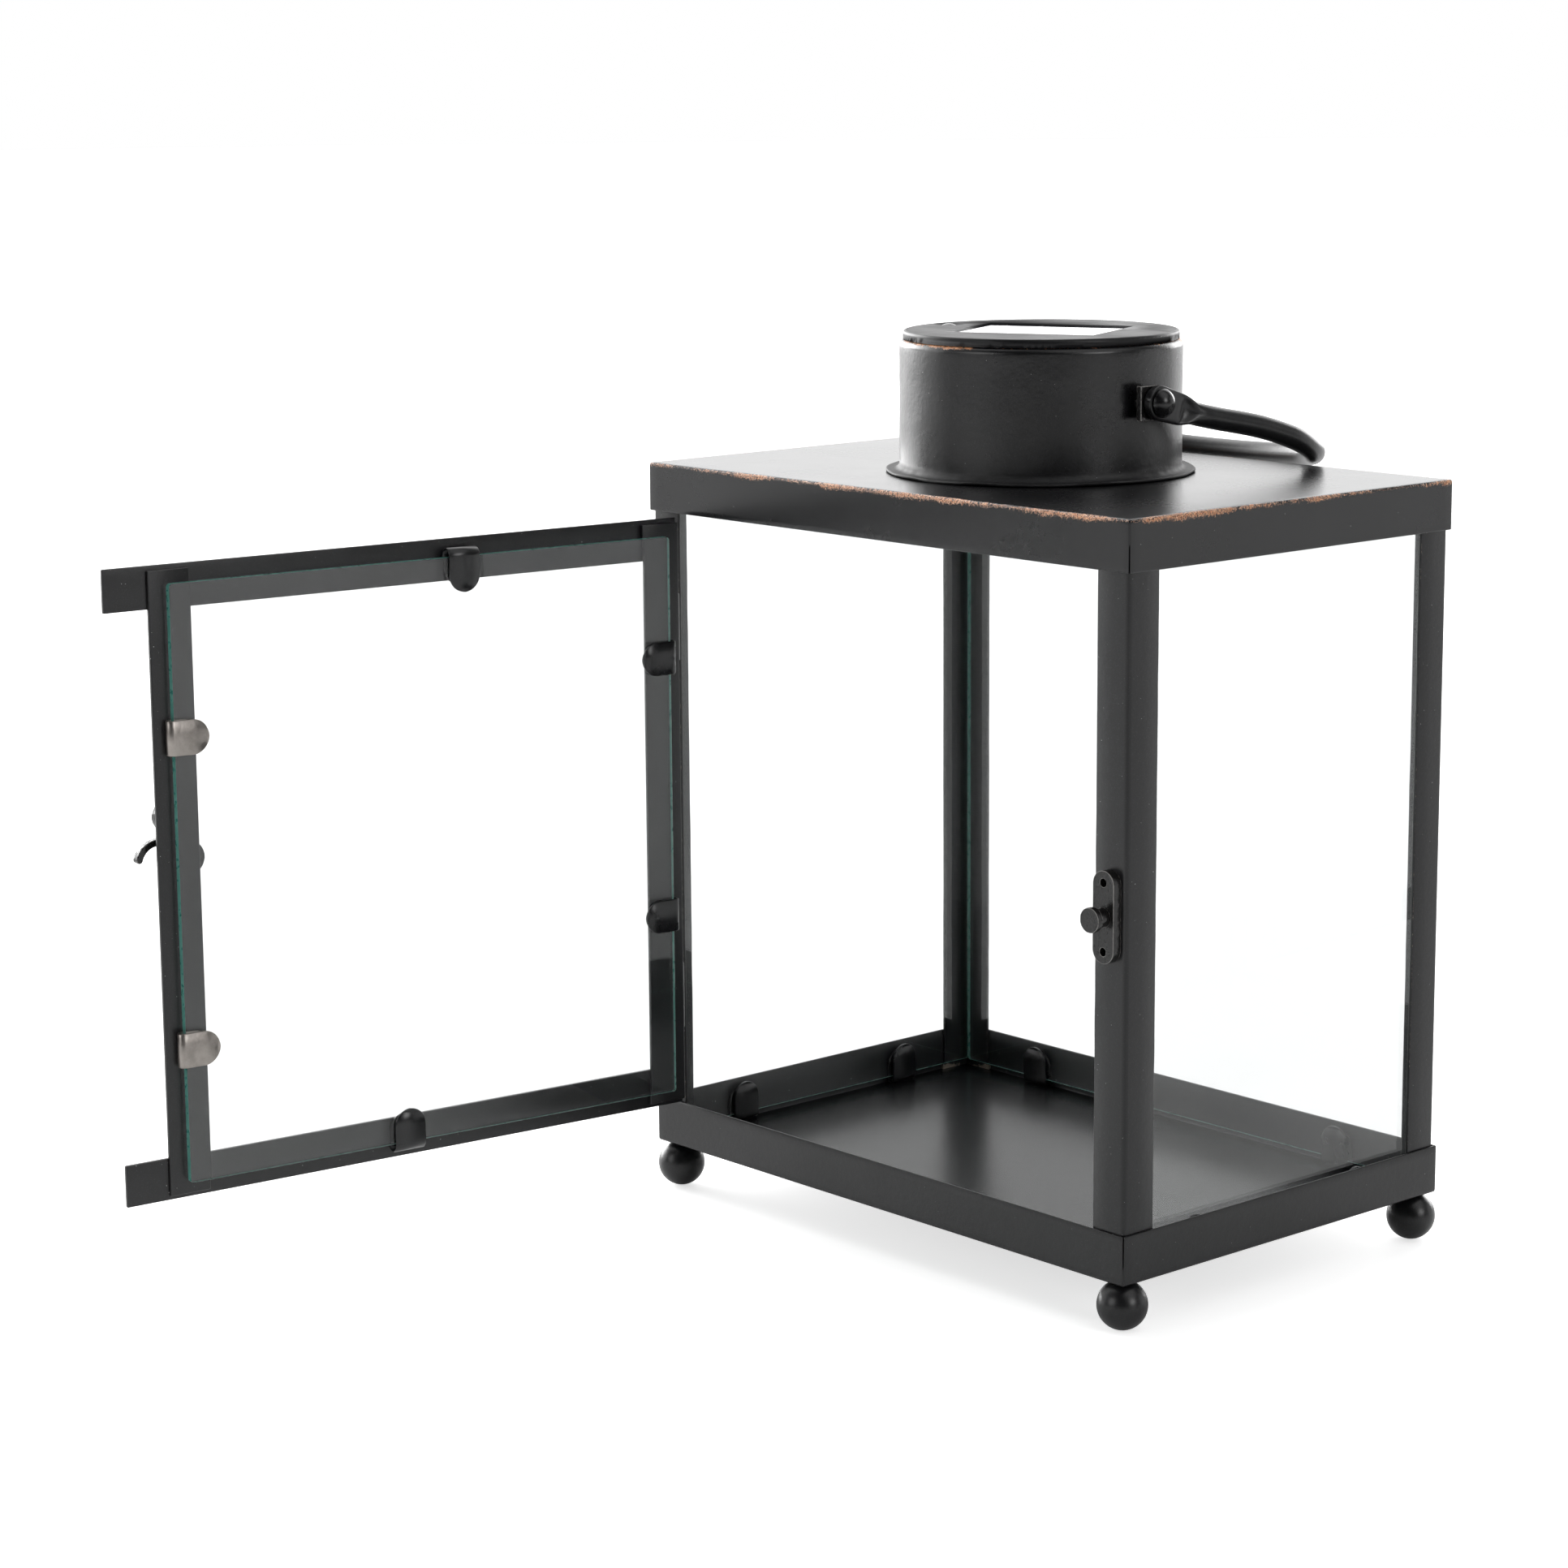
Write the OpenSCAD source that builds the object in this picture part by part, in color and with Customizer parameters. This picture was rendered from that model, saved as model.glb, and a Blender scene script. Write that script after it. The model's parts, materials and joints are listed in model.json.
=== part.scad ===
// Rectangular glazed metal lantern with a hinged door, a bail handle and a solar lid.
// Z is up and z = 0 is the surface that the ball feet stand on.
// X runs along the front, from the hinge side (-X) to the latch side (+X); the door side is -Y.

/* [Body] */
// Width of the body over the sheet bands
body_w = 240; // [190:1:300]
// Depth of the body over the sheet bands
body_d = 160; // [132:1:220]
// Height from the underside of the base to the top of the roof
body_h = 254; // [200:1:320]
// Thickness of the folded roof and base sheet
sheet = 1; // [0.7:0.1:1.4]
// Height of the folded band round the roof
roof_band = 17.4; // [14:0.1:24]
// Height of the folded band round the base
base_band = 17.2; // [14:0.1:24]
// Width of each leg of an angle post
post_leg = 14; // [11:0.5:16]
// Sheet thickness of an angle post
post_t = 1.2; // [0.8:0.1:1.6]
// Outer bend radius of an angle post
post_bend = 1.8; // [1.7:0.1:3]

/* [Feet] */
// Diameter of a ball foot
foot_d = 17.2; // [13:0.1:22]
// Flat ground off the top of a ball where it is welded on
foot_flat = 0.2; // [0.1:0.1:1]
// Distance of a ball's centre from each outer side
foot_inset = 6.2; // [5:0.1:20]

/* [Panes] */
// Thickness of the glass
glass_t = 2.5; // [2:0.1:4]
// Gap between a fixed pane and the angle posts it lies against
pane_play = 0.2; // [0.1:0.1:0.5]
// Gap between the clips of a fixed pane and the sheet above or below them
clip_clear = 0.35; // [0.1:0.05:2]
// Gap between the end of a fixed pane and what it meets
pane_end = 1; // [0.5:0.1:3]

/* [Clips] */
// Width of a glass clip
clip_w = 12; // [8:0.5:16]
// Sheet thickness of a glass clip
clip_t = 1; // [0.6:0.1:1.2]
// Length of a clip's tongue beyond its fold
clip_l = 12.5; // [8:0.5:18]
// Gap between the edge of the glass and the inside of a clip's fold
clip_slack = 0.2; // [0:0.1:0.5]
// Distance of a side pane's clips from the middle of the pane
clip_side = 41; // [25:1:50]
// Distance of the back pane's clips from the middle of the pane
clip_back = 76; // [40:1:80]

/* [Door] */
// Thickness of the door's flat strips
strip_t = 1.5; // [1:0.1:2]
// Height of the door's two rails
rail_h = 14.6; // [12:0.1:20]
// Width of the door's two stiles
stile_w = 15; // [12:0.1:20]
// Gap between the door and the posts beside it
door_side_gap = 0.5; // [0.4:0.1:1.5]
// Gap between the door's face and the post faces behind it
door_face_gap = 0.4; // [0.3:0.1:1]
// Gap between the door and the roof band
door_top_gap = 1; // [0.6:0.1:3]
// Gap between the door and the base band
door_bottom_gap = 1.6; // [0.6:0.1:3]
// Distance of a stile's ends from the door's top and bottom edges
stile_short = 1.6; // [0.5:0.1:4]
// Distance of the door glass from the door's outer edges
door_glass_in = 6; // [4:0.1:9]
// How far the door stands open as it is drawn
door_open = 96.3; // [0:0.1:150]

/* [Hinges] */
// Outer radius of a hinge barrel
barrel_r = 2.3; // [2:0.1:2.6]
// Radius of a hinge pin
hinge_pin_r = 1.2; // [1:0.1:1.4]
// Radial running clearance on a hinge pin
hinge_run = 0.05; // [0.02:0.01:0.1]
// Height of a hinge
hinge_h = 24; // [18:1:40]
// Distance of a hinge's middle from the end of the door
hinge_in = 40; // [30:1:60]
// Thickness of a hinge leaf
leaf_t = 1.2; // [1:0.1:1.4]
// Width of a hinge leaf from the hinge axis
leaf_w = 12; // [8:0.5:13]
// Gap between two knuckles of a hinge
knuckle_gap = 0.3; // [0.2:0.1:0.5]
// Distance of the hinge axis in front of the post faces
hinge_out = 3; // [2.9:0.1:3.2]

/* [Latch] */
// Height of the latch pivot above the base
latch_up = 150; // [110:1:170]
// Height of the catch pin above the base
catch_up = 124; // [85:1:144]
// Thickness of the catch plate
catch_t = 3.6; // [2.5:0.1:5]
// Width of the catch plate
catch_w = 9.4; // [9:0.1:12]
// Height of the catch plate
catch_h = 31; // [26:0.5:40]
// Distance of each catch plate hole from the pin
catch_hole_off = 11.5; // [9:0.5:12]
// Radius of a catch plate hole
catch_hole_r = 1.4; // [0.8:0.1:1.5]
// Radius of the catch pin's neck
catch_neck_r = 3.1; // [2.5:0.1:3.4]
// Radius of the catch pin's head
catch_head_r = 4.2; // [3.8:0.1:5]
// Thickness of the catch pin's head
catch_head_t = 2.2; // [1.5:0.1:3]
// Thickness of the latch lever
lever_t = 3; // [2:0.1:4]
// Gap on each side of the latch lever
lever_gap = 0.4; // [0.3:0.1:0.8]
// Radius of the latch pivot
latch_pin_r = 2; // [1.5:0.1:2.5]
// Radial running clearance on the latch pivot
latch_run = 0.08; // [0.02:0.01:0.1]
// Radius of the latch pivot's domed head
latch_head_r = 5; // [4:0.1:6]
// Height of the latch pivot's domed head
latch_head_h = 2.5; // [2:0.1:4]

/* [Collar] */
// Outer radius of the round collar on the roof
collar_r = 49.6; // [47:0.1:56]
// Height of the collar above the roof
collar_h = 46.7; // [40:0.1:60]
// Sheet thickness of the collar
collar_t = 1.2; // [0.8:0.1:1.6]
// Width of the collar's foot flange beyond its wall
flange_w = 4.6; // [3:0.1:8]
// Thickness of the collar's foot flange
flange_t = 1; // [0.6:0.1:1.4]
// Fillet between the flange and the wall
flange_fillet = 2.4; // [1:0.1:2.8]
// Outer bend radius of the collar's upper rim
rim_bend = 2.5; // [2:0.1:4]
// Width of the flat lip inside the rim's bend
rim_lip = 0.4; // [0.2:0.1:2]

/* [Handle] */
// Radius of the handle tube
tube_r = 4; // [3.4:0.1:4.2]
// Height of the handle pivots above the roof
pivot_up = 27.4; // [25:0.1:30]
// Thickness of the flattened handle ends
eye_t = 3; // [2.4:0.1:4]
// Radius of the flattened handle ends
eye_r = 6; // [5:0.1:7]
// Gap between the collar and a lug's plate
lug_stand = 3.3; // [2:0.1:5]
// Thickness of a lug's plate
lug_t = 2.2; // [1.6:0.1:3]
// Half height of a lug's plate
lug_half = 6; // [5:0.1:7]
// Distance from the pivot to a lug's straight edge
lug_reach = 7; // [6:0.1:7.5]
// Radius of a lug's welded neck
lug_neck_r = 4; // [3:0.1:5]
// Radius of a handle rivet
rivet_r = 2; // [1.6:0.1:2.4]
// Radial running clearance of a rivet in a handle end
rivet_run = 0.08; // [0.02:0.01:0.1]
// Radius of a handle rivet's domed head
rivet_head_r = 5; // [4:0.1:5.8]
// Height of a handle rivet's domed head
rivet_head_h = 3.6; // [2:0.1:4.5]
// Gap on each side of a flattened handle end
eye_gap = 0.35; // [0.3:0.05:0.6]
// Length of a handle arm from its flat end to its corner bend
arm_l = 51.5; // [42:0.5:66]
// Outward splay of a handle arm in degrees
arm_splay = 7.5; // [0:0.5:10]
// Radius of the handle's corner bends
corner_r = 29; // [20:0.5:30]
// Turn of each corner bend in degrees
corner_turn = 80; // [70:0.5:88]
// Gap between the lowered handle and the roof's edge
handle_rest_gap = 0.35; // [0.3:0.05:1]

/* [Solar lid] */
// Outer radius of the solar lid
lid_r = 48.4; // [46:0.1:54]
// Thickness of the solar lid's plate
lid_t = 3; // [2.5:0.1:4]
// Rounding of the solar lid's edge
lid_round = 1.1; // [0.5:0.1:1.2]
// Turn of the solar lid in the collar in degrees
lid_turn = 25; // [0:1:360]
// Gap between the solar unit's body and the collar's lip
unit_play = 0.4; // [0.3:0.1:1]
// Wall thickness of the solar unit's mouldings
mould_t = 1.6; // [1.2:0.1:2]
// Depth of the lid's skirt below its plate
skirt_h = 5; // [4:0.1:8]
// Length of the solar cell
cell_l = 53.4; // [40:0.1:56]
// Width of the solar cell
cell_w = 43.4; // [34:0.1:46]
// Thickness of the solar cell
cell_t = 1.8; // [1.2:0.1:2.4]
// Depth of the solar cell's face below the lid's top
cell_sunk = 0.5; // [0.4:0.1:1.4]
// Gap round the solar cell
cell_gap = 0.3; // [0.1:0.1:0.6]
// Distance of the button from the middle of the lid
button_off = 40.2; // [39:0.1:42]
// Direction of the button in the lid, in degrees
button_dir = 164.5; // [155:0.5:205]
// Radius of the button
button_r = 3.1; // [2.5:0.1:3.4]
// Gap round the button
button_gap = 0.3; // [0.3:0.05:0.5]
// Radius of the dish round the button
dish_r = 5.6; // [5:0.1:6]
// Depth of the dish round the button
dish_depth = 0.9; // [0.5:0.1:1.2]
// Radius of the button's retaining flange
button_flange_r = 4.2; // [3.8:0.1:4.4]
// Free travel of the button before its stem meets the switch
button_travel = 0.9; // [0.7:0.1:1.2]

/* [Solar unit inside] */
// Inside height of the light housing
housing_h = 18; // [17.5:0.1:28]
// Radius of the battery
battery_r = 7.1; // [5:0.1:7.2]
// Length of the battery
battery_l = 50.4; // [44:0.1:51]
// Distance of the battery's axis from the middle of the lid
battery_off = 12; // [10:0.5:16]
// Gap round the battery
battery_gap = 0.6; // [0.4:0.1:1]
// Thickness of the circuit board
board_t = 1.6; // [1:0.1:2]
// Width of the light's lens
lens_r = 9; // [6:0.1:11]
// Height of the light's lens below the housing
lens_h = 4.5; // [3:0.1:8]
// Distance of the light from the middle of the lid
light_off = 22; // [18:0.5:24]
// Radius of the light-emitting diode
led_r = 2.5; // [1.5:0.1:3]
// Distance of each housing screw from the middle of the lid
screw_off = 39; // [37:0.1:40]
// Radius of a housing screw's shank
screw_r = 1.2; // [1:0.1:1.5]
// Radius of a housing screw's head
screw_head_r = 2.4; // [2:0.1:2.8]

/* [Hidden] */
$fn = 64;
eps = 0.01;

// Levels of the body
base_z = foot_d - foot_flat;
floor_z = base_z + sheet;
base_top = base_z + base_band;
roof_z = base_z + body_h;
ceiling_z = roof_z - sheet;
roof_band_z = roof_z - roof_band;

// Posts and fixed panes
post_x = body_w / 2 - sheet;
post_y = body_d / 2 - sheet;
pane_set = sheet + post_t + pane_play;
clip_gap = pane_set - sheet - clip_t + glass_t;
clip_foot = 0.85 * clip_w;
pane_lift = clip_clear + clip_t + clip_gap / 2 + clip_slack;
pane_z = floor_z + pane_lift;
pane_h = ceiling_z - pane_lift - pane_z;
pane_side_x = body_w / 2 - pane_set - glass_t;
pane_side_l = body_d - 2 * (sheet + post_t + pane_end);
pane_back_y = body_d / 2 - pane_set - glass_t;
pane_back_l = 2 * (pane_side_x - pane_end);

// Door, measured closed
door_x0 = -(post_x - post_leg - door_side_gap);
door_x1 = -door_x0;
rail_x1 = body_w / 2;
door_z0 = base_top + door_bottom_gap;
door_z1 = roof_band_z - door_top_gap;
rail_y = -(post_y + door_face_gap);
stile_y1 = rail_y + strip_t;
door_glass_y = stile_y1 + clip_t;
door_glass_l = door_x1 - door_x0 - 2 * door_glass_in;
door_glass_h = door_z1 - door_z0 - 2 * door_glass_in;
hinge_x = -(post_x - post_leg - door_side_gap / 2);
hinge_y = -(post_y + hinge_out);
hinge_low = door_z0 + hinge_in - hinge_h / 2;
hinge_high = door_z1 - hinge_in - hinge_h / 2;
knuckle_h = hinge_h / 3;
pin_end = 0.6;
pin_head_r = 0.8 * barrel_r;
pin_head_h = 0.8;

// Clip places: heights on the latch stile and the hinge stile as shares of the door's
// height, and the rail clips' distance from the middle of the door
latch_stile_clips = [0.242, 0.734];
hinge_stile_clips = [0.334, 0.771];
rail_clip_off = 0.065 * (door_x1 - door_x0);

// Latch and catch
latch_x = door_x1 - stile_w / 2;
latch_z = base_z + latch_up;
catch_x = post_x - post_leg / 2;
catch_z = base_z + catch_up;
catch_face = -(post_y + catch_t);
lever_y1 = catch_face - lever_gap;
lever_y0 = lever_y1 - lever_t;
catch_head_y = lever_y0 - 2 * lever_gap;
boss_r = 2 * latch_pin_r;
pin_dx = catch_x - latch_x;
pin_dz = catch_z - latch_z;
hook_reach = norm([pin_dx, pin_dz]);
notch_r = catch_neck_r + 0.4;
notch_dir = -101;
notch_l = 12;
lever_eye_r = latch_head_r + 0.6;
thumb_r = 5.9;
thumb_down = 14.7;
finger_r = 1.15;
finger_bend = 7.2;
finger_mid = [4.8, -15.5];
finger_end = 15;
finger_turn = 105;
hook_lip = 3.4;
hook_tip_r = 1.35 * hook_lip;
hook_tip_in = 0.7 * hook_lip;
stem_foot = -hook_reach - 6;
stem_outline = [
    [-4.4, 0],
    [4.4, 0],
    [4.2, -12],
    [3.2, -22],
    [2.6, stem_foot],
    [-3, stem_foot],
    [-4, -22]
];

// Collar and handle
lip_r = collar_r - rim_bend - rim_lip;
collar_top = roof_z + collar_h;
pivot_z = roof_z + pivot_up;
lug_face = collar_r + lug_stand;
eye_x = lug_face + lug_t + eye_gap + eye_t / 2;
rivet_head_x = eye_x + eye_t / 2 + eye_gap;
rest_drop = atan(2 * pivot_up / body_d)
    - asin((tube_r + handle_rest_gap) / norm([body_d / 2, pivot_up]));
flat_half = eye_r * 0.92;
flat_l = norm([lug_reach, lug_half]) + 0.2;
neck_l = 9;
neck_lap = 0.4;
neck_step = 0.1;
corner_lap = 1;
corner_at = [eye_x + arm_l * sin(arm_splay), flat_l + arm_l * cos(arm_splay)];
corner_mid = corner_at + corner_r * [-cos(arm_splay), sin(arm_splay)];
crown_from = corner_turn - arm_splay;
crown_at = corner_mid + corner_r * [cos(crown_from), sin(crown_from)];
crown_r = crown_at[0] / cos(crown_from);
crown_v = crown_at[1] - crown_r * sin(crown_from);

// Solar unit, its levels counted down from the lid's top
lid_z = collar_top + lid_t;
unit_r = lip_r - unit_play;
skirt_z = collar_top - skirt_h;
housing_z = skirt_z - housing_h - mould_t;
housing_floor = housing_z + mould_t;
cell_z = lid_z - cell_sunk - cell_t;
button_x = button_off * cos(button_dir);
button_y = button_off * sin(button_dir);
button_z = collar_top - 0.2;
button_top = lid_z + 0.3;
button_dome = 1;
button_flange_t = 1;
button_flange_z = button_z - button_flange_t;
board_z = skirt_z - board_t - 0.2;
board_play = 0.6;
board_end = 12;
switch_w = 6;
switch_h = 2.4;
switch_tip = 0.8;
stem_r = 1.2;
stem_z = board_z + board_t + switch_h + button_travel;
column_r = screw_head_r + 0.8;
column_gap = 0.4;
screw_head_t = 1.4;
screw_l = 7;
led_hole_gap = 0.5;
led_down = 1;
led_h = 5;
led_dome = 1.5;
lead_r = 0.3;
lead_off = 1.27;
lens_t = 1.2;
battery_z = housing_floor + battery_gap + battery_r;
tip_r = 2.7;
tip_l = 1.2;
cover_l = battery_l + 3.6;
cover_w = 2 * battery_r + 2.8;
cover_gap = 0.2;
contact_x = battery_l / 2 + 0.7;
contact_t = 0.6;
contact_half = [4.5, 5];
contact_pad_r = 2.2;
contact_pad_h = 0.6;
screw_dirs = [0, 110, 250];

// Finish colours
black_paint = [0.09, 0.09, 0.095];
clip_brown = [0.27, 0.25, 0.23];
plastic = [0.05, 0.05, 0.055];
clear_glass = [0.78, 0.88, 0.85, 0.35];

// A box from its lowest corner to its highest corner
module block(low, high) {
    translate(low)
        cube(high - low);
}

// Turns what is drawn closed with the door to the angle at which the door stands
module on_door() {
    translate([hinge_x, hinge_y, 0])
        rotate([0, 0, -door_open])
            translate([-hinge_x, -hinge_y, 0])
                children();
}

// Places what is drawn about the lid's middle
module in_lid() {
    rotate([0, 0, lid_turn])
        children();
}

// Spherical cap with its flat side on z = 0
module dome(r, h) {
    ball_r = (r * r + h * h) / (2 * h);
    intersection() {
        translate([0, 0, h - ball_r])
            sphere(r = ball_r);
        cylinder(r = r + eps, h = h + eps);
    }
}

// ---- Body ----

// One sheet folded up into a shallow tray: floor and four band walls
module base_tray() {
    color(black_paint)
        difference() {
            block([-body_w / 2, -body_d / 2, base_z], [body_w / 2, body_d / 2, base_top]);
            block([-post_x, -post_y, floor_z], [post_x, post_y, base_top + 1]);
        }
}

// The same fold upside down, with the light opening under the collar
module roof_cap() {
    color(black_paint)
        difference() {
            block([-body_w / 2, -body_d / 2, roof_band_z], [body_w / 2, body_d / 2, roof_z]);
            block([-post_x, -post_y, roof_band_z - 1], [post_x, post_y, ceiling_z]);
            translate([0, 0, ceiling_z - 1])
                cylinder(r = lip_r, h = sheet + 2);
        }
}

// Angle post at the corner named by the signs of x and y
module post(side_x, side_y) {
    color(black_paint)
        mirror([side_x > 0 ? 1 : 0, 0, 0])
            mirror([0, side_y > 0 ? 1 : 0, 0])
                translate([-post_x, -post_y, floor_z])
                    linear_extrude(ceiling_z - floor_z)
                        difference() {
                            union() {
                                translate([post_bend, 0])
                                    square([post_leg - post_bend, post_bend]);
                                translate([0, post_bend])
                                    square([post_bend, post_leg - post_bend]);
                                translate([post_bend, post_bend])
                                    circle(r = post_bend);
                            }
                            translate([post_t, post_t])
                                square(post_leg);
                        }
}

// Ball foot, ground flat where it is welded under the base
module foot(side_x, side_y) {
    color(black_paint)
        intersection() {
            translate([
                side_x * (body_w / 2 - foot_inset),
                side_y * (body_d / 2 - foot_inset),
                foot_d / 2
            ])
                sphere(d = foot_d, $fn = 96);
            block([-body_w, -body_d, 0], [body_w, body_d, base_z]);
        }
}

// ---- Fixed glass ----

module side_pane(side) {
    color(clear_glass)
        mirror([side > 0 ? 0 : 1, 0, 0])
            translate([pane_side_x, -pane_side_l / 2, pane_z])
                cube([glass_t, pane_side_l, pane_h]);
}

module back_pane() {
    color(clear_glass)
        translate([-pane_back_l / 2, pane_back_y, pane_z])
            cube([pane_back_l, glass_t, pane_h]);
}

// A lobe of clip strip lying on y = 0, with its straight end on z = 0 and a round far end
module clip_lobe(length) {
    rotate([90, 0, 0])
        translate([0, 0, -clip_t])
            linear_extrude(clip_t)
                union() {
                    translate([-clip_w / 2, 0])
                        square([clip_w, length - clip_w / 2]);
                    translate([0, length - clip_w / 2])
                        circle(d = clip_w);
                }
}

// Folded clip: its foot lies on y = 0, the fold is below z = 0 and the tongue holds glass
// whose far face is gap + clip_t from the foot's outer face
module clip(gap) {
    clip_lobe(clip_foot);
    translate([0, gap + clip_t, 0])
        clip_lobe(clip_l);
    translate([-clip_w / 2, clip_t + gap / 2, 0])
        rotate([90, 0, 90])
            linear_extrude(clip_w)
                intersection() {
                    difference() {
                        circle(r = gap / 2 + clip_t);
                        circle(r = gap / 2);
                    }
                    translate([-gap - clip_t, -gap - clip_t])
                        square([2 * (gap + clip_t), gap + clip_t]);
                }
}

// A fixed pane's four clips, at the given distance each side of the middle of a wall
// that lies on y = 0 and is glazed towards +y
module pane_clips(off) {
    for (x = [-off, off]) {
        translate([x, 0, pane_z - clip_slack])
            clip(clip_gap);
        translate([x, 0, pane_z + pane_h + clip_slack])
            mirror([0, 0, 1])
                clip(clip_gap);
    }
}

module pane_clips_side(side) {
    color(black_paint)
        translate([side * post_x, 0, 0])
            rotate([0, 0, side * 90])
                pane_clips(clip_side);
}

module pane_clips_back() {
    color(black_paint)
        translate([0, post_y, 0])
            rotate([0, 0, 180])
                pane_clips(clip_back);
}

// ---- Collar and handle ----

// Spun collar: foot flange, fillet, wall and a rim turned in to a flat lip
module collar() {
    wall_in = collar_r - collar_t;
    color(black_paint)
        translate([0, 0, roof_z])
            rotate_extrude($fn = 128) {
                translate([wall_in, 0])
                    square([collar_t + flange_w, flange_t]);
                translate([wall_in, 0])
                    square([collar_t, collar_h - rim_bend]);
                difference() {
                    translate([collar_r, flange_t])
                        square(flange_fillet);
                    translate([collar_r + flange_fillet, flange_t + flange_fillet])
                        circle(r = flange_fillet);
                }
                intersection() {
                    difference() {
                        translate([collar_r - rim_bend, collar_h - rim_bend])
                            circle(r = rim_bend);
                        translate([collar_r - rim_bend, collar_h - rim_bend])
                            circle(r = rim_bend - collar_t);
                    }
                    translate([collar_r - rim_bend, collar_h - rim_bend])
                        square(rim_bend);
                }
                translate([lip_r, collar_h - collar_t])
                    square([rim_lip + eps, collar_t]);
            }
}

// Lug: a plate on a short neck welded to the collar, square in front and round at the rivet
module handle_lug(side) {
    color(black_paint)
        mirror([side > 0 ? 0 : 1, 0, 0])
            difference() {
                translate([0, 0, pivot_z])
                    rotate([90, 0, 90]) {
                        translate([0, 0, collar_r - collar_t])
                            cylinder(r = lug_neck_r, h = lug_stand + collar_t + eps);
                        translate([0, 0, lug_face])
                            linear_extrude(lug_t)
                                union() {
                                    circle(r = lug_half);
                                    translate([-lug_reach, -lug_half])
                                        square([lug_reach, 2 * lug_half]);
                                }
                    }
                translate([0, 0, roof_z])
                    cylinder(r = collar_r, h = collar_h, $fn = 128);
                translate([collar_r + lug_stand / 2, 0, pivot_z])
                    rotate([0, 90, 0])
                        cylinder(r = rivet_r, h = lug_stand + lug_t);
            }
}

// Two rivets, each fixed in its lug, on which the handle ends turn
module handle_rivets() {
    color(black_paint)
        for (side = [0, 1])
            mirror([side, 0, 0])
                translate([0, 0, pivot_z])
                    rotate([0, 90, 0]) {
                        translate([0, 0, collar_r + lug_stand / 2])
                            cylinder(r = rivet_r, h = rivet_head_x + eps - collar_r - lug_stand / 2);
                        translate([0, 0, rivet_head_x])
                            dome(rivet_head_r, rivet_head_h);
                    }
}

// One end of the handle in the plane of the bail: flat eye, neck, arm and corner bend
module handle_arm() {
    translate([eye_x - eye_t / 2, 0, 0])
        rotate([90, 0, 90])
            linear_extrude(eye_t)
                difference() {
                    union() {
                        circle(r = eye_r);
                        translate([0, -flat_half])
                            square([flat_l, 2 * flat_half]);
                    }
                    circle(r = rivet_r + rivet_run);
                }
    translate([eye_x, flat_l, 0])
        rotate([0, 0, -arm_splay]) {
            intersection() {
                translate([0, -neck_lap, 0])
                    rotate([-90, 0, 0])
                        cylinder(
                            r1 = flat_half - neck_step,
                            r2 = tube_r - neck_step,
                            h = neck_l + 2 * neck_lap
                        );
                linear_extrude(4 * eye_r, center = true)
                    polygon([
                        [-eye_t / 2 + neck_step, -neck_lap],
                        [eye_t / 2 - neck_step, -neck_lap],
                        [tube_r + neck_step, neck_l + neck_lap],
                        [-tube_r - neck_step, neck_l + neck_lap]
                    ]);
            }
            translate([0, neck_l, 0])
                rotate([-90, 0, 0])
                    cylinder(r = tube_r, h = arm_l - neck_l);
        }
    translate([corner_mid[0], corner_mid[1], 0])
        rotate([0, 0, -arm_splay - corner_lap])
            rotate_extrude(angle = corner_turn + 2 * corner_lap)
                translate([corner_r, 0])
                    circle(r = tube_r - neck_step);
}

// Round bail, drawn lowered to the back until it nears the roof's rear edge
module bail_handle() {
    color(black_paint)
        translate([0, 0, pivot_z])
            rotate([-rest_drop, 0, 0]) {
                handle_arm();
                mirror([1, 0, 0])
                    handle_arm();
                translate([0, crown_v, 0])
                    rotate([0, 0, crown_from])
                        rotate_extrude(angle = 180 - 2 * crown_from, $fn = 128)
                            translate([crown_r, 0])
                                circle(r = tube_r, $fn = 64);
            }
}

// ---- Catch on the latch-side front post ----

module catch_plate() {
    color(black_paint)
        translate([catch_x, -post_y, catch_z])
            rotate([90, 0, 0])
                difference() {
                    linear_extrude(catch_t)
                        difference() {
                            union() {
                                square([catch_w, catch_h - catch_w], center = true);
                                for (end = [-1, 1])
                                    translate([0, end * (catch_h - catch_w) / 2])
                                        circle(d = catch_w);
                            }
                            for (end = [-1, 1])
                                translate([0, end * catch_hole_off])
                                    circle(r = catch_hole_r);
                        }
                    translate([0, 0, catch_t / 2])
                        cylinder(r = catch_neck_r, h = catch_t);
                }
}

// Headed stub that the latch lever hooks behind
module catch_pin() {
    color(black_paint)
        translate([catch_x, -post_y - catch_t / 2, catch_z])
            rotate([90, 0, 0]) {
                cylinder(r = catch_neck_r, h = -catch_head_y - post_y - catch_t / 2 + eps);
                translate([0, 0, -catch_head_y - post_y - catch_t / 2])
                    cylinder(r = catch_head_r, h = catch_head_t);
            }
}

// ---- Hinges ----

// Knuckle of barrel between two heights, with a web that joins it to its leaf
module knuckle(z0, z1, web_x, web_y0, web_y1) {
    difference() {
        union() {
            translate([hinge_x, hinge_y, z0])
                cylinder(r = barrel_r, h = z1 - z0);
            block(
                [min(web_x, hinge_x), web_y0, z0],
                [max(web_x, hinge_x), web_y1, z1]
            );
        }
        translate([hinge_x, hinge_y, z0 - 1])
            cylinder(r = hinge_pin_r + hinge_run, h = z1 - z0 + 2);
    }
}

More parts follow.
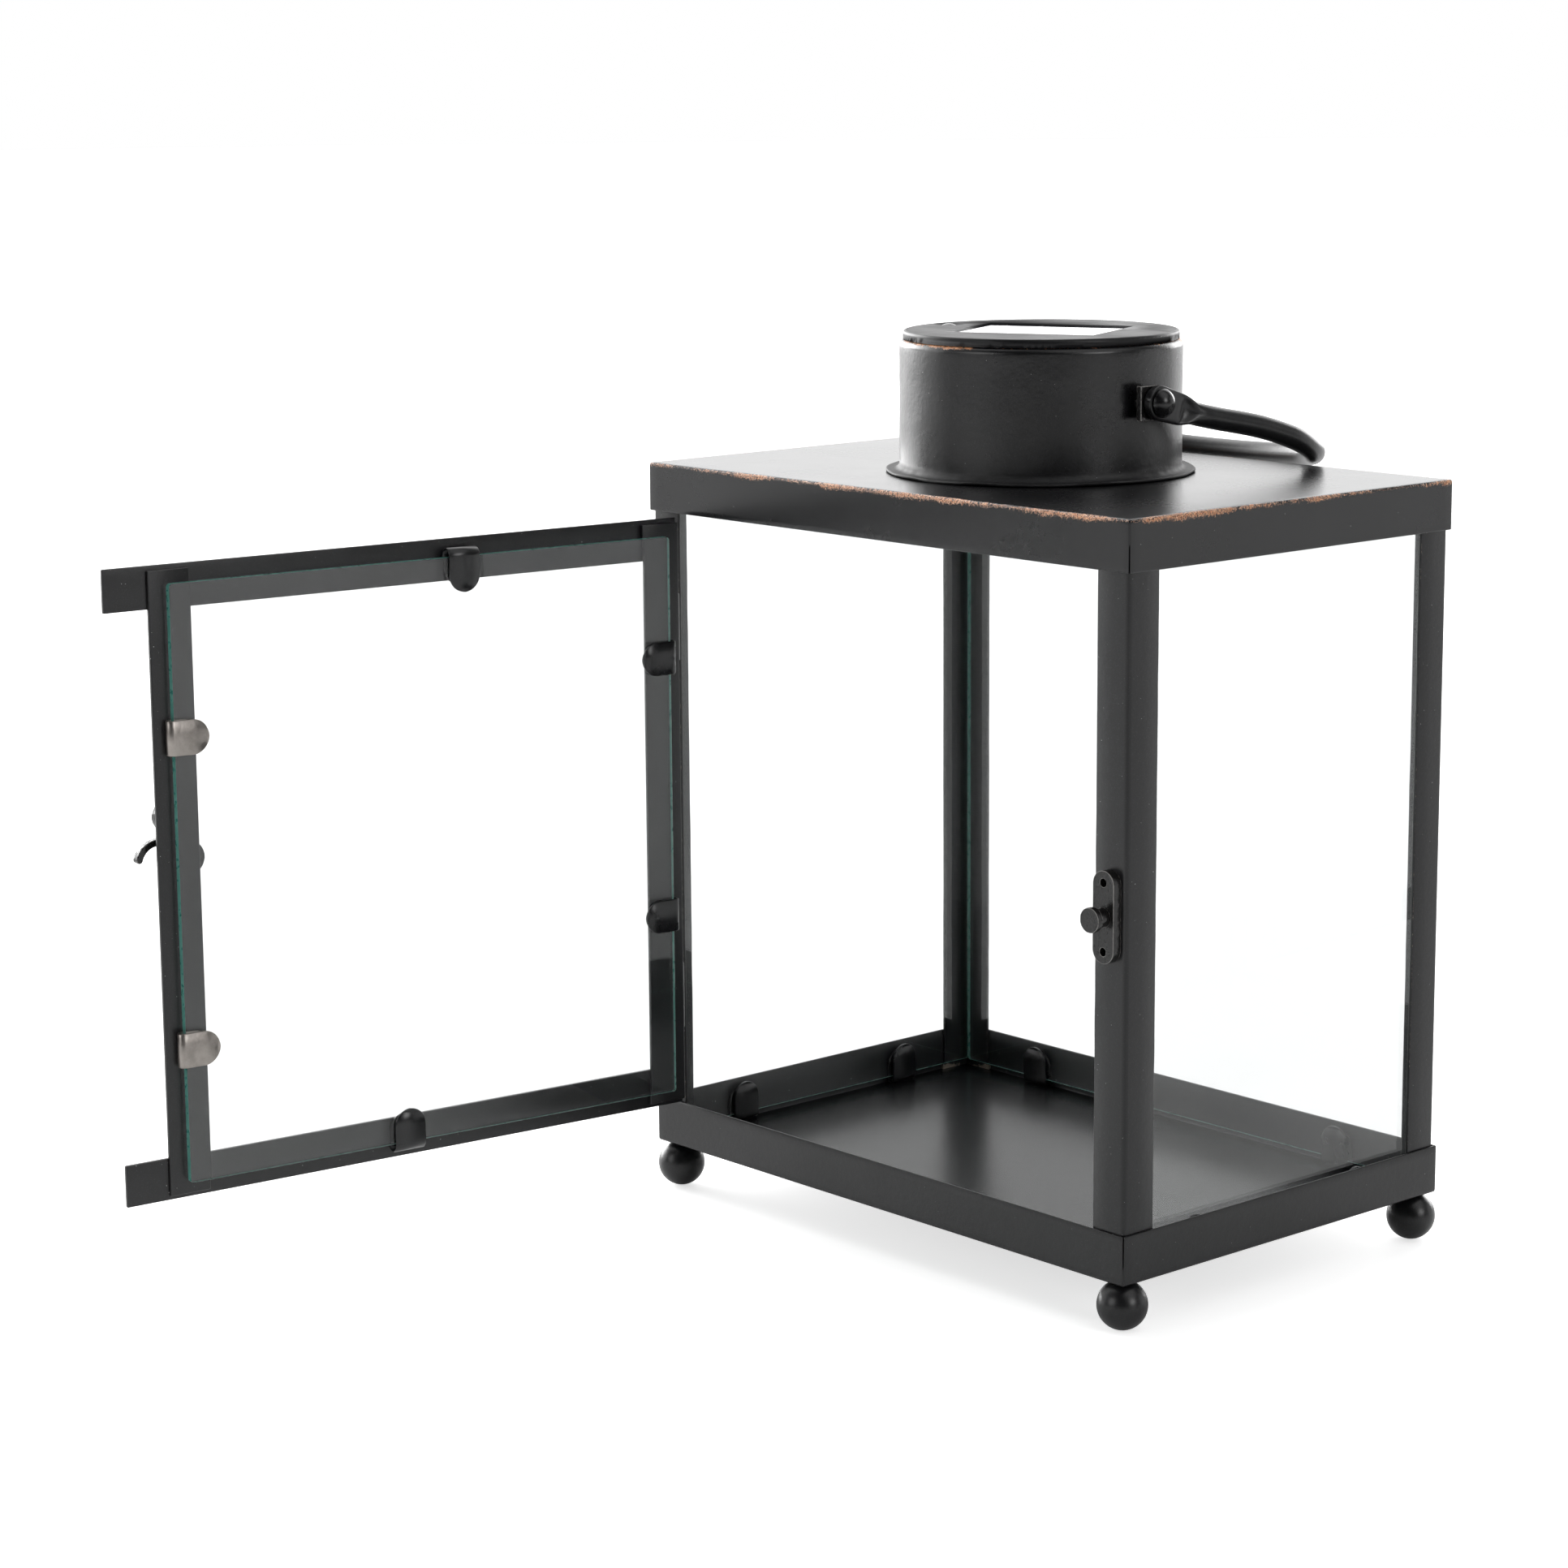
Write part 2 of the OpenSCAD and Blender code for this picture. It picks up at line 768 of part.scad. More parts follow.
// Leaf on the post, with the outer two knuckles
module hinge_frame_leaf(z) {
    leaf_x = hinge_x - barrel_r - knuckle_gap;
    web_in = -post_y - leaf_t;
    color(black_paint)
        union() {
            block([hinge_x - leaf_w, web_in, z], [leaf_x, -post_y, z + hinge_h]);
            knuckle(z, z + knuckle_h - knuckle_gap, leaf_x, web_in, -post_y);
            knuckle(z + 2 * knuckle_h + knuckle_gap, z + hinge_h, leaf_x, web_in, -post_y);
        }
}

// Leaf on the hinge stile, with the middle knuckle
module hinge_door_leaf(z) {
    leaf_x = hinge_x + barrel_r + knuckle_gap;
    web_in = rail_y - leaf_t;
    color(black_paint)
        on_door()
            union() {
                block([leaf_x, web_in, z], [hinge_x + leaf_w, rail_y, z + hinge_h]);
                knuckle(z + knuckle_h, z + 2 * knuckle_h, leaf_x, web_in, rail_y);
            }
}

module hinge_pins() {
    color(black_paint)
        for (z = [hinge_low, hinge_high])
            translate([hinge_x, hinge_y, z - pin_end]) {
                cylinder(r = hinge_pin_r, h = hinge_h + 2 * pin_end);
                translate([0, 0, hinge_h + pin_end])
                    cylinder(r = pin_head_r, h = pin_head_h);
            }
}

// ---- Door ----

module door_rail(z) {
    color(black_paint)
        on_door()
            block([door_x0, rail_y - strip_t, z], [rail_x1, rail_y, z + rail_h]);
}

module door_stile(x) {
    color(black_paint)
        on_door()
            block([x, rail_y, door_z0 + stile_short], [x + stile_w, stile_y1, door_z1 - stile_short]);
}

module door_glass() {
    color(clear_glass)
        on_door()
            translate([door_x0 + door_glass_in, door_glass_y, door_z0 + door_glass_in])
                cube([door_glass_l, glass_t, door_glass_h]);
}

// Six clips: two on each stile and one on each rail; those on the rails reach over the
// thickness of the stiles
module door_clips() {
    door_h = door_z1 - door_z0;
    fold_in = door_glass_in - clip_slack;
    color(clip_brown)
        on_door() {
            for (share = latch_stile_clips)
                translate([door_x1 - fold_in, stile_y1, door_z0 + share * door_h])
                    rotate([0, -90, 0])
                        clip(glass_t);
            for (share = hinge_stile_clips)
                translate([door_x0 + fold_in, stile_y1, door_z0 + share * door_h])
                    rotate([0, 90, 0])
                        clip(glass_t);
            translate([rail_clip_off, rail_y, door_z0 + fold_in])
                clip(glass_t + strip_t);
            translate([-rail_clip_off, rail_y, door_z1 - fold_in])
                mirror([0, 0, 1])
                    clip(glass_t + strip_t);
        }
}

// ---- Latch on the door ----

// Places what is drawn about the latch pivot, with z towards the outside of the door
module at_latch(y) {
    on_door()
        translate([latch_x, y, latch_z])
            rotate([90, 0, 0])
                children();
}

// Spacer between the stile and the lever
module latch_boss() {
    color(black_paint)
        at_latch(rail_y)
            difference() {
                cylinder(r = boss_r, h = rail_y - lever_y1 - lever_gap);
                translate([0, 0, -1])
                    cylinder(r = latch_pin_r, h = rail_y - lever_y1 + 2);
            }
}

module latch_rivet() {
    color(black_paint)
        at_latch(rail_y)
            union() {
                cylinder(r = latch_pin_r, h = rail_y - lever_y0 + lever_gap + eps);
                translate([0, 0, rail_y - lever_y0 + lever_gap])
                    dome(latch_head_r, latch_head_h);
            }
}

// Lever: eye, tapering stem, thumb lobe, curved finger and a hook that falls on the catch pin
module latch_lever() {
    notch = hook_reach * [cos(notch_dir), sin(notch_dir)];
    lip_at = notch + [hook_tip_in, -notch_r - hook_lip];
    color(black_paint)
        at_latch(lever_y1)
            difference() {
                union() {
                    cylinder(r = lever_eye_r, h = lever_t);
                    linear_extrude(lever_t)
                        polygon(stem_outline);
                    translate([-thumb_r, -thumb_down, 0])
                        cylinder(r = thumb_r, h = lever_t);
                    translate([lip_at[0], lip_at[1], 0])
                        cylinder(r = hook_tip_r, h = lever_t);
                    translate([finger_mid[0], finger_mid[1], 0]) {
                        rotate(finger_end)
                            rotate_extrude(angle = finger_turn)
                                translate([finger_bend - finger_r, 0])
                                    square([2 * finger_r, lever_t]);
                        rotate(finger_end)
                            translate([finger_bend, 0, 0])
                                cylinder(r = finger_r, h = lever_t);
                    }
                }
                translate([0, 0, -1])
                    cylinder(r = latch_pin_r + latch_run, h = lever_t + 2);
                translate([notch[0], notch[1], -1])
                    cylinder(r = notch_r, h = lever_t + 2);
                translate([notch[0] - notch_l, notch[1] - notch_r, -1])
                    cube([notch_l, 2 * notch_r, lever_t + 2]);
            }
}

// ---- Solar unit ----

// Screw column at one of the three screw places
module at_screws() {
    for (dir = screw_dirs)
        rotate([0, 0, dir])
            translate([screw_off, 0, 0])
                children();
}

// Lid: plate with a sunk window, a dished button hole, a skirt and three screw columns
module solar_lid() {
    pocket_l = cell_l + 2 * cell_gap;
    pocket_w = cell_w + 2 * cell_gap;
    color(plastic)
        in_lid()
            difference() {
                union() {
                    translate([0, 0, collar_top])
                        rotate_extrude($fn = 128)
                            union() {
                                square([lid_r - lid_round, lid_t]);
                                square([lid_r, lid_t - lid_round]);
                                translate([lid_r - lid_round, lid_t - lid_round])
                                    circle(r = lid_round, $fn = 48);
                            }
                    translate([0, 0, skirt_z])
                        difference() {
                            cylinder(r = unit_r, h = skirt_h + eps, $fn = 128);
                            translate([0, 0, -1])
                                cylinder(r = unit_r - mould_t, h = skirt_h + 1, $fn = 128);
                        }
                    translate([-pocket_l / 2 - mould_t, -pocket_w / 2 - mould_t, cell_z - mould_t])
                        cube([pocket_l + 2 * mould_t, pocket_w + 2 * mould_t, mould_t + cell_t]);
                    at_screws()
                        translate([0, 0, housing_floor])
                            cylinder(r = column_r, h = collar_top - housing_floor + eps);
                }
                translate([-pocket_l / 2, -pocket_w / 2, cell_z])
                    cube([pocket_l, pocket_w, cell_t + cell_sunk + 1]);
                translate([button_x, button_y, collar_top - 1])
                    cylinder(r = button_r + button_gap, h = lid_t + 2);
                translate([button_x, button_y, lid_z + (dish_r * dish_r / dish_depth - dish_depth) / 2])
                    sphere(r = (dish_r * dish_r / dish_depth + dish_depth) / 2, $fn = 128);
                at_screws()
                    translate([0, 0, housing_floor - 1])
                        cylinder(r = screw_r, h = screw_l + 2);
            }
}

module solar_cell() {
    color([0.07, 0.08, 0.13])
        in_lid()
            translate([-cell_l / 2, -cell_w / 2, cell_z])
                cube([cell_l, cell_w, cell_t]);
}

// Housing: a cup under the lid with a battery opening, a light hole and contact ribs
module light_housing() {
    color(plastic)
        in_lid()
            difference() {
                union() {
                    difference() {
                        translate([0, 0, housing_z])
                            cylinder(r = unit_r, h = skirt_z - housing_z, $fn = 128);
                        translate([0, 0, housing_floor])
                            cylinder(r = unit_r - mould_t, h = housing_h + 1, $fn = 128);
                    }
                    for (side = [-1, 1])
                        translate([
                            side * (contact_x + contact_t + mould_t / 2) - mould_t / 2,
                            -battery_off - battery_r + 1,
                            housing_floor - eps
                        ])
                            cube([mould_t, 2 * battery_r - 2, 2 * battery_r]);
                }
                translate([-cover_l / 2, -battery_off - cover_w / 2, housing_z - 1])
                    cube([cover_l, cover_w, mould_t + 1 + eps]);
                translate([0, light_off, housing_z - 1])
                    cylinder(r = led_r + led_hole_gap, h = mould_t + 2);
                at_screws()
                    translate([0, 0, housing_z - 1])
                        cylinder(r = screw_r + 0.3, h = mould_t + 2);
            }
}

module battery_cover() {
    color(plastic)
        in_lid()
            translate([-cover_l / 2 + cover_gap, -battery_off - cover_w / 2 + cover_gap, housing_z])
                cube([cover_l - 2 * cover_gap, cover_w - 2 * cover_gap, mould_t]);
}

module push_button() {
    color([0.07, 0.07, 0.075])
        in_lid()
            translate([button_x, button_y, 0]) {
                translate([0, 0, button_z])
                    cylinder(r = button_r, h = button_top - button_dome - button_z);
                translate([0, 0, button_top - button_dome - eps])
                    dome(button_r, button_dome);
                translate([0, 0, button_flange_z])
                    cylinder(r = button_flange_r, h = button_flange_t);
                translate([0, 0, stem_z])
                    cylinder(r = stem_r, h = button_flange_z + eps - stem_z);
            }
}

// Tactile switch on the board, under the button's stem
module button_switch() {
    color([0.25, 0.25, 0.27])
        in_lid()
            translate([button_x, button_y, board_z + board_t]) {
                translate([-switch_w / 2, -switch_w / 2, 0])
                    cube([switch_w, switch_w, switch_h - switch_tip]);
                cylinder(r = stem_r + 0.4, h = switch_h);
            }
}

// Board across half of the unit, notched round the screw columns
module circuit_board() {
    board_r = unit_r - mould_t - board_play;
    color([0.06, 0.32, 0.15])
        in_lid()
            translate([0, 0, board_z])
                linear_extrude(board_t)
                    difference() {
                        intersection() {
                            circle(r = board_r, $fn = 128);
                            translate([-board_r, -board_r])
                                square([board_r + board_end, 2 * board_r]);
                        }
                        for (dir = screw_dirs)
                            rotate(dir)
                                translate([screw_off, 0])
                                    circle(r = column_r + column_gap);
                    }
}

module battery() {
    color([0.2, 0.45, 0.3])
        in_lid()
            translate([-battery_l / 2, -battery_off, battery_z])
                rotate([0, 90, 0])
                    union() {
                        cylinder(r = battery_r, h = battery_l - tip_l);
                        cylinder(r = tip_r, h = battery_l);
                    }
}

// Spring plates at the battery's two ends
module battery_contacts() {
    color([0.75, 0.75, 0.72])
        in_lid()
            for (side = [0, 1])
                mirror([side, 0, 0])
                    translate([contact_x, -battery_off, battery_z]) {
                        translate([0, -contact_half[0], -contact_half[1]])
                            cube([contact_t, 2 * contact_half[0], 2 * contact_half[1]]);
                        translate([-contact_pad_h, 0, 0])
                            rotate([0, 90, 0])
                                cylinder(r = contact_pad_r, h = contact_pad_h + eps);
                    }
}

// Diode with its leads up to the board
module led() {
    color([0.95, 0.9, 0.75])
        in_lid()
            translate([0, light_off, 0]) {
                translate([0, 0, housing_z - led_down])
                    cylinder(r = led_r, h = led_h);
                translate([0, 0, housing_z - led_down])
                    mirror([0, 0, 1])
                        dome(led_r, led_dome);
                for (side = [-1, 1])
                    translate([side * lead_off, 0, housing_z - led_down + led_h - eps])
                        cylinder(r = lead_r, h = board_z - housing_z + led_down - led_h + eps);
            }
}

// Domed cover over the diode, glued under the housing
module led_lens() {
    color([0.9, 0.9, 0.88, 0.6])
        in_lid()
            translate([0, light_off, housing_z])
                mirror([0, 0, 1])
                    difference() {
                        dome(lens_r, lens_h);
                        translate([0, 0, -eps])
                            dome(lens_r - lens_t, lens_h - lens_t);
                    }
}

module housing_screws() {
    color([0.6, 0.6, 0.62])
        in_lid()
            at_screws()
                translate([0, 0, housing_z])
                    union() {
                        translate([0, 0, -screw_head_t])
                            cylinder(r = screw_head_r, h = screw_head_t);
                        translate([0, 0, -eps])
                            cylinder(r = screw_r, h = mould_t + screw_l);
                    }
}

base_tray();
post(-1, -1);  // post_front_left
post(1, -1);  // post_front_right
post(-1, 1);  // post_back_left
post(1, 1);  // post_back_right
roof_cap();
foot(-1, -1);  // foot_front_left
foot(1, -1);  // foot_front_right
foot(-1, 1);  // foot_back_left
foot(1, 1);  // foot_back_right
side_pane(-1);  // pane_left
side_pane(1);  // pane_right
back_pane();  // pane_back
pane_clips_side(-1);  // pane_clips_left
pane_clips_side(1);  // pane_clips_right
pane_clips_back();
collar();
handle_lug(-1);  // handle_lug_left
handle_lug(1);  // handle_lug_right
handle_rivets();
bail_handle();
catch_plate();
catch_pin();
hinge_frame_leaf(hinge_high);  // hinge_frame_leaf_upper
hinge_frame_leaf(hinge_low);  // hinge_frame_leaf_lower
hinge_pins();
hinge_door_leaf(hinge_high);  // hinge_door_leaf_upper
hinge_door_leaf(hinge_low);  // hinge_door_leaf_lower
door_rail(door_z1 - rail_h);  // door_rail_top
door_rail(door_z0);  // door_rail_bottom
door_stile(door_x0);  // door_stile_hinge
door_stile(door_x1 - stile_w);  // door_stile_latch
door_glass();
door_clips();
latch_boss();
latch_rivet();
latch_lever();
solar_lid();
solar_cell();
light_housing();
push_button();
button_switch();
circuit_board();
battery();
battery_contacts();
battery_cover();
led();
led_lens();
housing_screws();
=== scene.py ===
import json
import math

import bmesh
import bpy
from mathutils import Matrix, Vector, noise


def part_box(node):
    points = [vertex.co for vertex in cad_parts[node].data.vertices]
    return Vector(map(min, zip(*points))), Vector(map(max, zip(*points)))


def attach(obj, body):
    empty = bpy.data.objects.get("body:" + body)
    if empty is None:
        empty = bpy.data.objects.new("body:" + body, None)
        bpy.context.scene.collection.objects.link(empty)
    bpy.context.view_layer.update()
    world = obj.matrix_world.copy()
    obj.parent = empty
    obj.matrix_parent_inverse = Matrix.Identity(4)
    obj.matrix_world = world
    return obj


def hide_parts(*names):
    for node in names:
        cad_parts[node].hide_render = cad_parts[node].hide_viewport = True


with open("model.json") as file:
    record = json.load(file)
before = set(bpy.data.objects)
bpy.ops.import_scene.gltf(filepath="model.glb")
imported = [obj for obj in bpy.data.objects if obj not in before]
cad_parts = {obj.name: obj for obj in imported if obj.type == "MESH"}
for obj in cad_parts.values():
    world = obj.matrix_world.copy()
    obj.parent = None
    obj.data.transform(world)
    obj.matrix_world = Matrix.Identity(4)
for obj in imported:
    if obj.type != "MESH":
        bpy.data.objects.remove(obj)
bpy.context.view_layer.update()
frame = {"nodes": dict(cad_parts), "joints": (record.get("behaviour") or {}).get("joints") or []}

MM = 0.001
nodes = frame["nodes"]
joints = {j["name"]: j for j in frame["joints"]}
scene = bpy.context.scene

# ---------------------------------------------------------------- camera

CAM_AZ, CAM_EL, CAM_ROLL = map(math.radians, (48.75, 10.89, -0.45))
CAM_AT = Vector((0.9735, -0.9750, 0.4237))
CAM_LENS = 89.85

back = Vector((math.sin(CAM_AZ) * math.cos(CAM_EL), -math.cos(CAM_AZ) * math.cos(CAM_EL), math.sin(CAM_EL)))
right = Vector((math.cos(CAM_AZ), math.sin(CAM_AZ), 0))
up = back.cross(right)
cr, sr = math.cos(CAM_ROLL), math.sin(CAM_ROLL)
cam_x, cam_y = right * cr + up * sr, up * cr - right * sr
camera = bpy.data.objects.new("camera", bpy.data.cameras.new("camera"))
scene.collection.objects.link(camera)
camera.matrix_world = Matrix.Translation(CAM_AT) @ Matrix((cam_x, cam_y, back)).transposed().to_4x4()
camera.data.sensor_width = 36
camera.data.lens = CAM_LENS
camera.data.clip_start, camera.data.clip_end = 0.05, 50
scene.camera = camera

# ---------------------------------------------------------------- mesh helpers


def new_object(name, mesh, body, slot, *replaced):
    obj = bpy.data.objects.new(name, mesh)
    scene.collection.objects.link(obj)
    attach(obj, body)
    if replaced:
        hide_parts(*replaced)
    return obj


def finish_mesh(name, verts, faces, sharp=35):
    mesh = bpy.data.meshes.new(name)
    mesh.from_pydata([tuple(v) for v in verts], [], faces)
    bm = bmesh.new()
    bm.from_mesh(mesh)
    bmesh.ops.remove_doubles(bm, verts=bm.verts, dist=1e-7)
    bmesh.ops.recalc_face_normals(bm, faces=bm.faces)
    bm.to_mesh(mesh)
    bm.free()
    smooth(mesh, sharp)
    return mesh


def smooth(mesh, sharp=35):
    for p in mesh.polygons:
        p.use_smooth = True
    mesh.set_sharp_from_angle(angle=math.radians(sharp))


def loft(name, rings, closed=False, caps=(True, True), sharp=35):
    """Skin over rings of equally many points; closed joins the last ring to the first."""
    n = len(rings[0])
    verts = [p for ring in rings for p in ring]
    faces = []
    for i in range(len(rings) - (0 if closed else 1)):
        a, b = i * n, ((i + 1) % len(rings)) * n
        for j in range(n):
            k = (j + 1) % n
            faces.append((a + j, a + k, b + k, b + j))
    if not closed:
        if caps[0]:
            faces.append(tuple(range(n))[::-1])
        if caps[1]:
            faces.append(tuple(range((len(rings) - 1) * n, len(rings) * n)))
    return finish_mesh(name, verts, faces, sharp)


def lathe_rings(profile, n, bend=None):
    """Rings round Z through (radius, height) points; bend(radius, height, angle) may move a point."""
    rings = []
    for r, z in profile:
        ring = []
        for i in range(n):
            a = 2 * math.pi * i / n
            rr, zz = bend(r, z, a) if bend else (r, z)
            ring.append(Vector((rr * math.cos(a), rr * math.sin(a), zz)))
        rings.append(ring)
    return rings


def arc(cx, cy, r, a0, a1, steps):
    """Points on an arc, angles in degrees."""
    return [
        (cx + r * math.cos(math.radians(a0 + (a1 - a0) * i / steps)),
         cy + r * math.sin(math.radians(a0 + (a1 - a0) * i / steps)))
        for i in range(steps + 1)
    ]


CORNER_STEPS, SIDE_X, SIDE_Y = 6, 60, 40


def rounded_rectangle(hx, hy, r):
    """Outline with the same number of points whatever its size."""
    points = []
    corners = [(1, 1, 0, SIDE_X), (-1, 1, 90, SIDE_Y), (-1, -1, 180, SIDE_X), (1, -1, 270, SIDE_Y)]
    for i, (sx, sy, a, along) in enumerate(corners):
        turn = arc(sx * (hx - r), sy * (hy - r), r, a, a + 90, CORNER_STEPS)
        nx, ny, na, _ = corners[(i + 1) % 4]
        start = arc(nx * (hx - r), ny * (hy - r), r, na, na, 1)[0]
        points += turn
        end = turn[-1]
        points += [
            (end[0] + (start[0] - end[0]) * k / along, end[1] + (start[1] - end[1]) * k / along)
            for k in range(1, along)
        ]
    return points


def corner_index(i):
    """0 to 1: how near the i-th outline point is to the middle of a corner's bend."""
    per = [CORNER_STEPS + SIDE_X, CORNER_STEPS + SIDE_Y, CORNER_STEPS + SIDE_X, CORNER_STEPS + SIDE_Y]
    at = 0
    for count in per:
        k = i - at - CORNER_STEPS / 2
        if abs(k) < 1:
            return 1 - abs(k)
        at += count
    return 0


def copy_cad(name, cad, body, slot, voxel=None, rounds=2, bevel=None, segments=2, replaced=None):
    """A piece made from a CAD node's own shape: welded, then remeshed and relaxed, or bevelled."""
    cads = [cad] if isinstance(cad, str) else list(cad)
    bm = bmesh.new()
    for c in cads:
        bm.from_mesh(nodes[c].data)
    bmesh.ops.remove_doubles(bm, verts=bm.verts, dist=2e-6)
    mesh = bpy.data.meshes.new(name)
    bm.to_mesh(mesh)
    bm.free()
    mesh.materials.clear()
    if mesh.has_custom_normals:
        mesh.normals_split_custom_set_from_vertices([(0, 0, 0)] * len(mesh.vertices))
    obj = new_object(name, mesh, body, slot, *(replaced if replaced is not None else cads))
    if voxel:
        m = obj.modifiers.new("remesh", "REMESH")
        m.mode, m.voxel_size = "VOXEL", voxel
        s = obj.modifiers.new("relax", "SMOOTH")
        s.factor, s.iterations = 0.5, rounds
        bake_modifiers(obj)
        smooth(obj.data, 180)
    elif bevel:
        limit_dissolve(obj.data)
        b = obj.modifiers.new("bevel", "BEVEL")
        b.width, b.segments, b.limit_method = bevel, segments, "ANGLE"
        b.angle_limit = math.radians(35)
        bake_modifiers(obj)
        smooth(obj.data, 40)
    return obj


def limit_dissolve(mesh):
    bm = bmesh.new()
    bm.from_mesh(mesh)
    bmesh.ops.dissolve_limit(
        bm, angle_limit=math.radians(0.5), verts=bm.verts, edges=bm.edges, use_dissolve_boundaries=False
    )
    bm.to_mesh(mesh)
    bm.free()


def bake_modifiers(obj):
    """Replaces the object's mesh with what its modifiers make of it."""
    bpy.context.view_layer.update()
    done = bpy.data.meshes.new_from_object(obj.evaluated_get(bpy.context.evaluated_depsgraph_get()))
    obj.modifiers.clear()
    obj.data = done


def cut(obj, cutter):
    """Cuts a mesh away from a piece, and drops the cutter."""
    tool = bpy.data.objects.new("cutter", cutter)
    scene.collection.objects.link(tool)
    m = obj.modifiers.new("cut", "BOOLEAN")
    m.operation, m.object, m.solver = "DIFFERENCE", tool, "EXACT"
    bake_modifiers(obj)
    bpy.data.objects.remove(tool)
    smooth(obj.data, 35)


def mark_wear_and_highlight(obj, spread=2):
    """Stores on each vertex how far it stands proud of its neighbours, 0 to 1, as 'proud'."""
    mesh = obj.data
    bm = bmesh.new()
    bm.from_mesh(mesh)
    bm.verts.ensure_lookup_table()
    bm.normal_update()
    value = []
    for v in bm.verts:
        around = [e.other_vert(v) for e in v.link_edges]
        k = sum(v.normal.dot((v.co - o.co).normalized()) for o in around if (v.co - o.co).length > 0)
        value.append(max(0.0, k / max(len(around), 1)))
    for _ in range(spread):
        value = [
            0.5 * value[v.index]
            + 0.5 * sum(value[e.other_vert(v).index] for e in v.link_edges) / max(len(v.link_edges), 1)
            for v in bm.verts
        ]
    bm.free()
    peak = max(value) or 1
    a = mesh.attributes.get("proud") or mesh.attributes.new("proud", "FLOAT", "POINT")
    a.data.foreach_set("value", [min(1.0, x / peak) for x in value])


def wobble(x, y, z, size, amount):
    """Smooth random shift at a place, in metres, with features about `size` across."""
    return amount * noise.noise(Vector((x, y, z)) / size)


# ---------------------------------------------------------------- materials

COPPER = (0.56, 0.21, 0.08, 1)
COPPER_PALE = (0.82, 0.44, 0.24, 1)


class Graph:
    """Short way to write a material's nodes."""

    def __init__(self, name):
        self.mat = bpy.data.materials.new(name)
        self.mat.use_nodes = True
        self.tree = self.mat.node_tree
        self.bsdf = self.tree.nodes["Principled BSDF"]
        coord = self.tree.nodes.new("ShaderNodeTexCoord")
        self.at = coord.outputs["Object"]

    def add(self, kind, **sockets):
        n = self.tree.nodes.new(kind)
        for k, v in sockets.items():
            self.put(n.inputs[k.replace("_", " ")], v)
        return n

    def put(self, socket, value):
        if isinstance(value, bpy.types.NodeSocket):
            self.tree.links.new(value, socket)
        else:
            socket.default_value = value

    def noise(self, scale, detail=2.0, rough=0.5, stretch=None, at=None):
        n = self.add("ShaderNodeTexNoise", Scale=scale, Detail=detail, Roughness=rough)
        where = at or self.at
        if stretch:
            m = self.add("ShaderNodeMapping", Vector=where)
            m.inputs["Scale"].default_value = stretch
            where = m.outputs["Vector"]
        self.put(n.inputs["Vector"], where)
        return n.outputs["Fac"]

    def math(self, op, a, b=0.0, c=0.0, clamp=False):
        n = self.tree.nodes.new("ShaderNodeMath")
        n.operation, n.use_clamp = op, clamp
        for i, v in enumerate((a, b, c)):
            self.put(n.inputs[i], v)
        return n.outputs[0]

    def step(self, value, low, high, out=(0.0, 1.0)):
        n = self.tree.nodes.new("ShaderNodeMapRange")
        n.interpolation_type = "SMOOTHSTEP"
        limits = (("From Min", low), ("From Max", high), ("To Min", out[0]), ("To Max", out[1]))
        for k, v in (("Value", value), *limits):
            self.put(n.inputs[k], v)
        return n.outputs["Result"]

    def mix(self, fac, a, b):
        n = self.tree.nodes.new("ShaderNodeMix")
        n.data_type = "RGBA"
        self.put(n.inputs["Factor"], fac)
        self.put(n.inputs["A"], a)
        self.put(n.inputs["B"], b)
        return n.outputs["Result"]

    def xyz(self):
        return self.add("ShaderNodeSeparateXYZ", Vector=self.at).outputs

    def attribute(self, name):
        n = self.tree.nodes.new("ShaderNodeAttribute")
        n.attribute_name = name
        return n.outputs["Fac"]

    def bump(self, height, strength, distance, over=None):
        n = self.add("ShaderNodeBump", Height=height, Strength=strength, Distance=distance)
        if over is not None:
            self.put(n.inputs["Normal"], over)
        return n.outputs["Normal"]


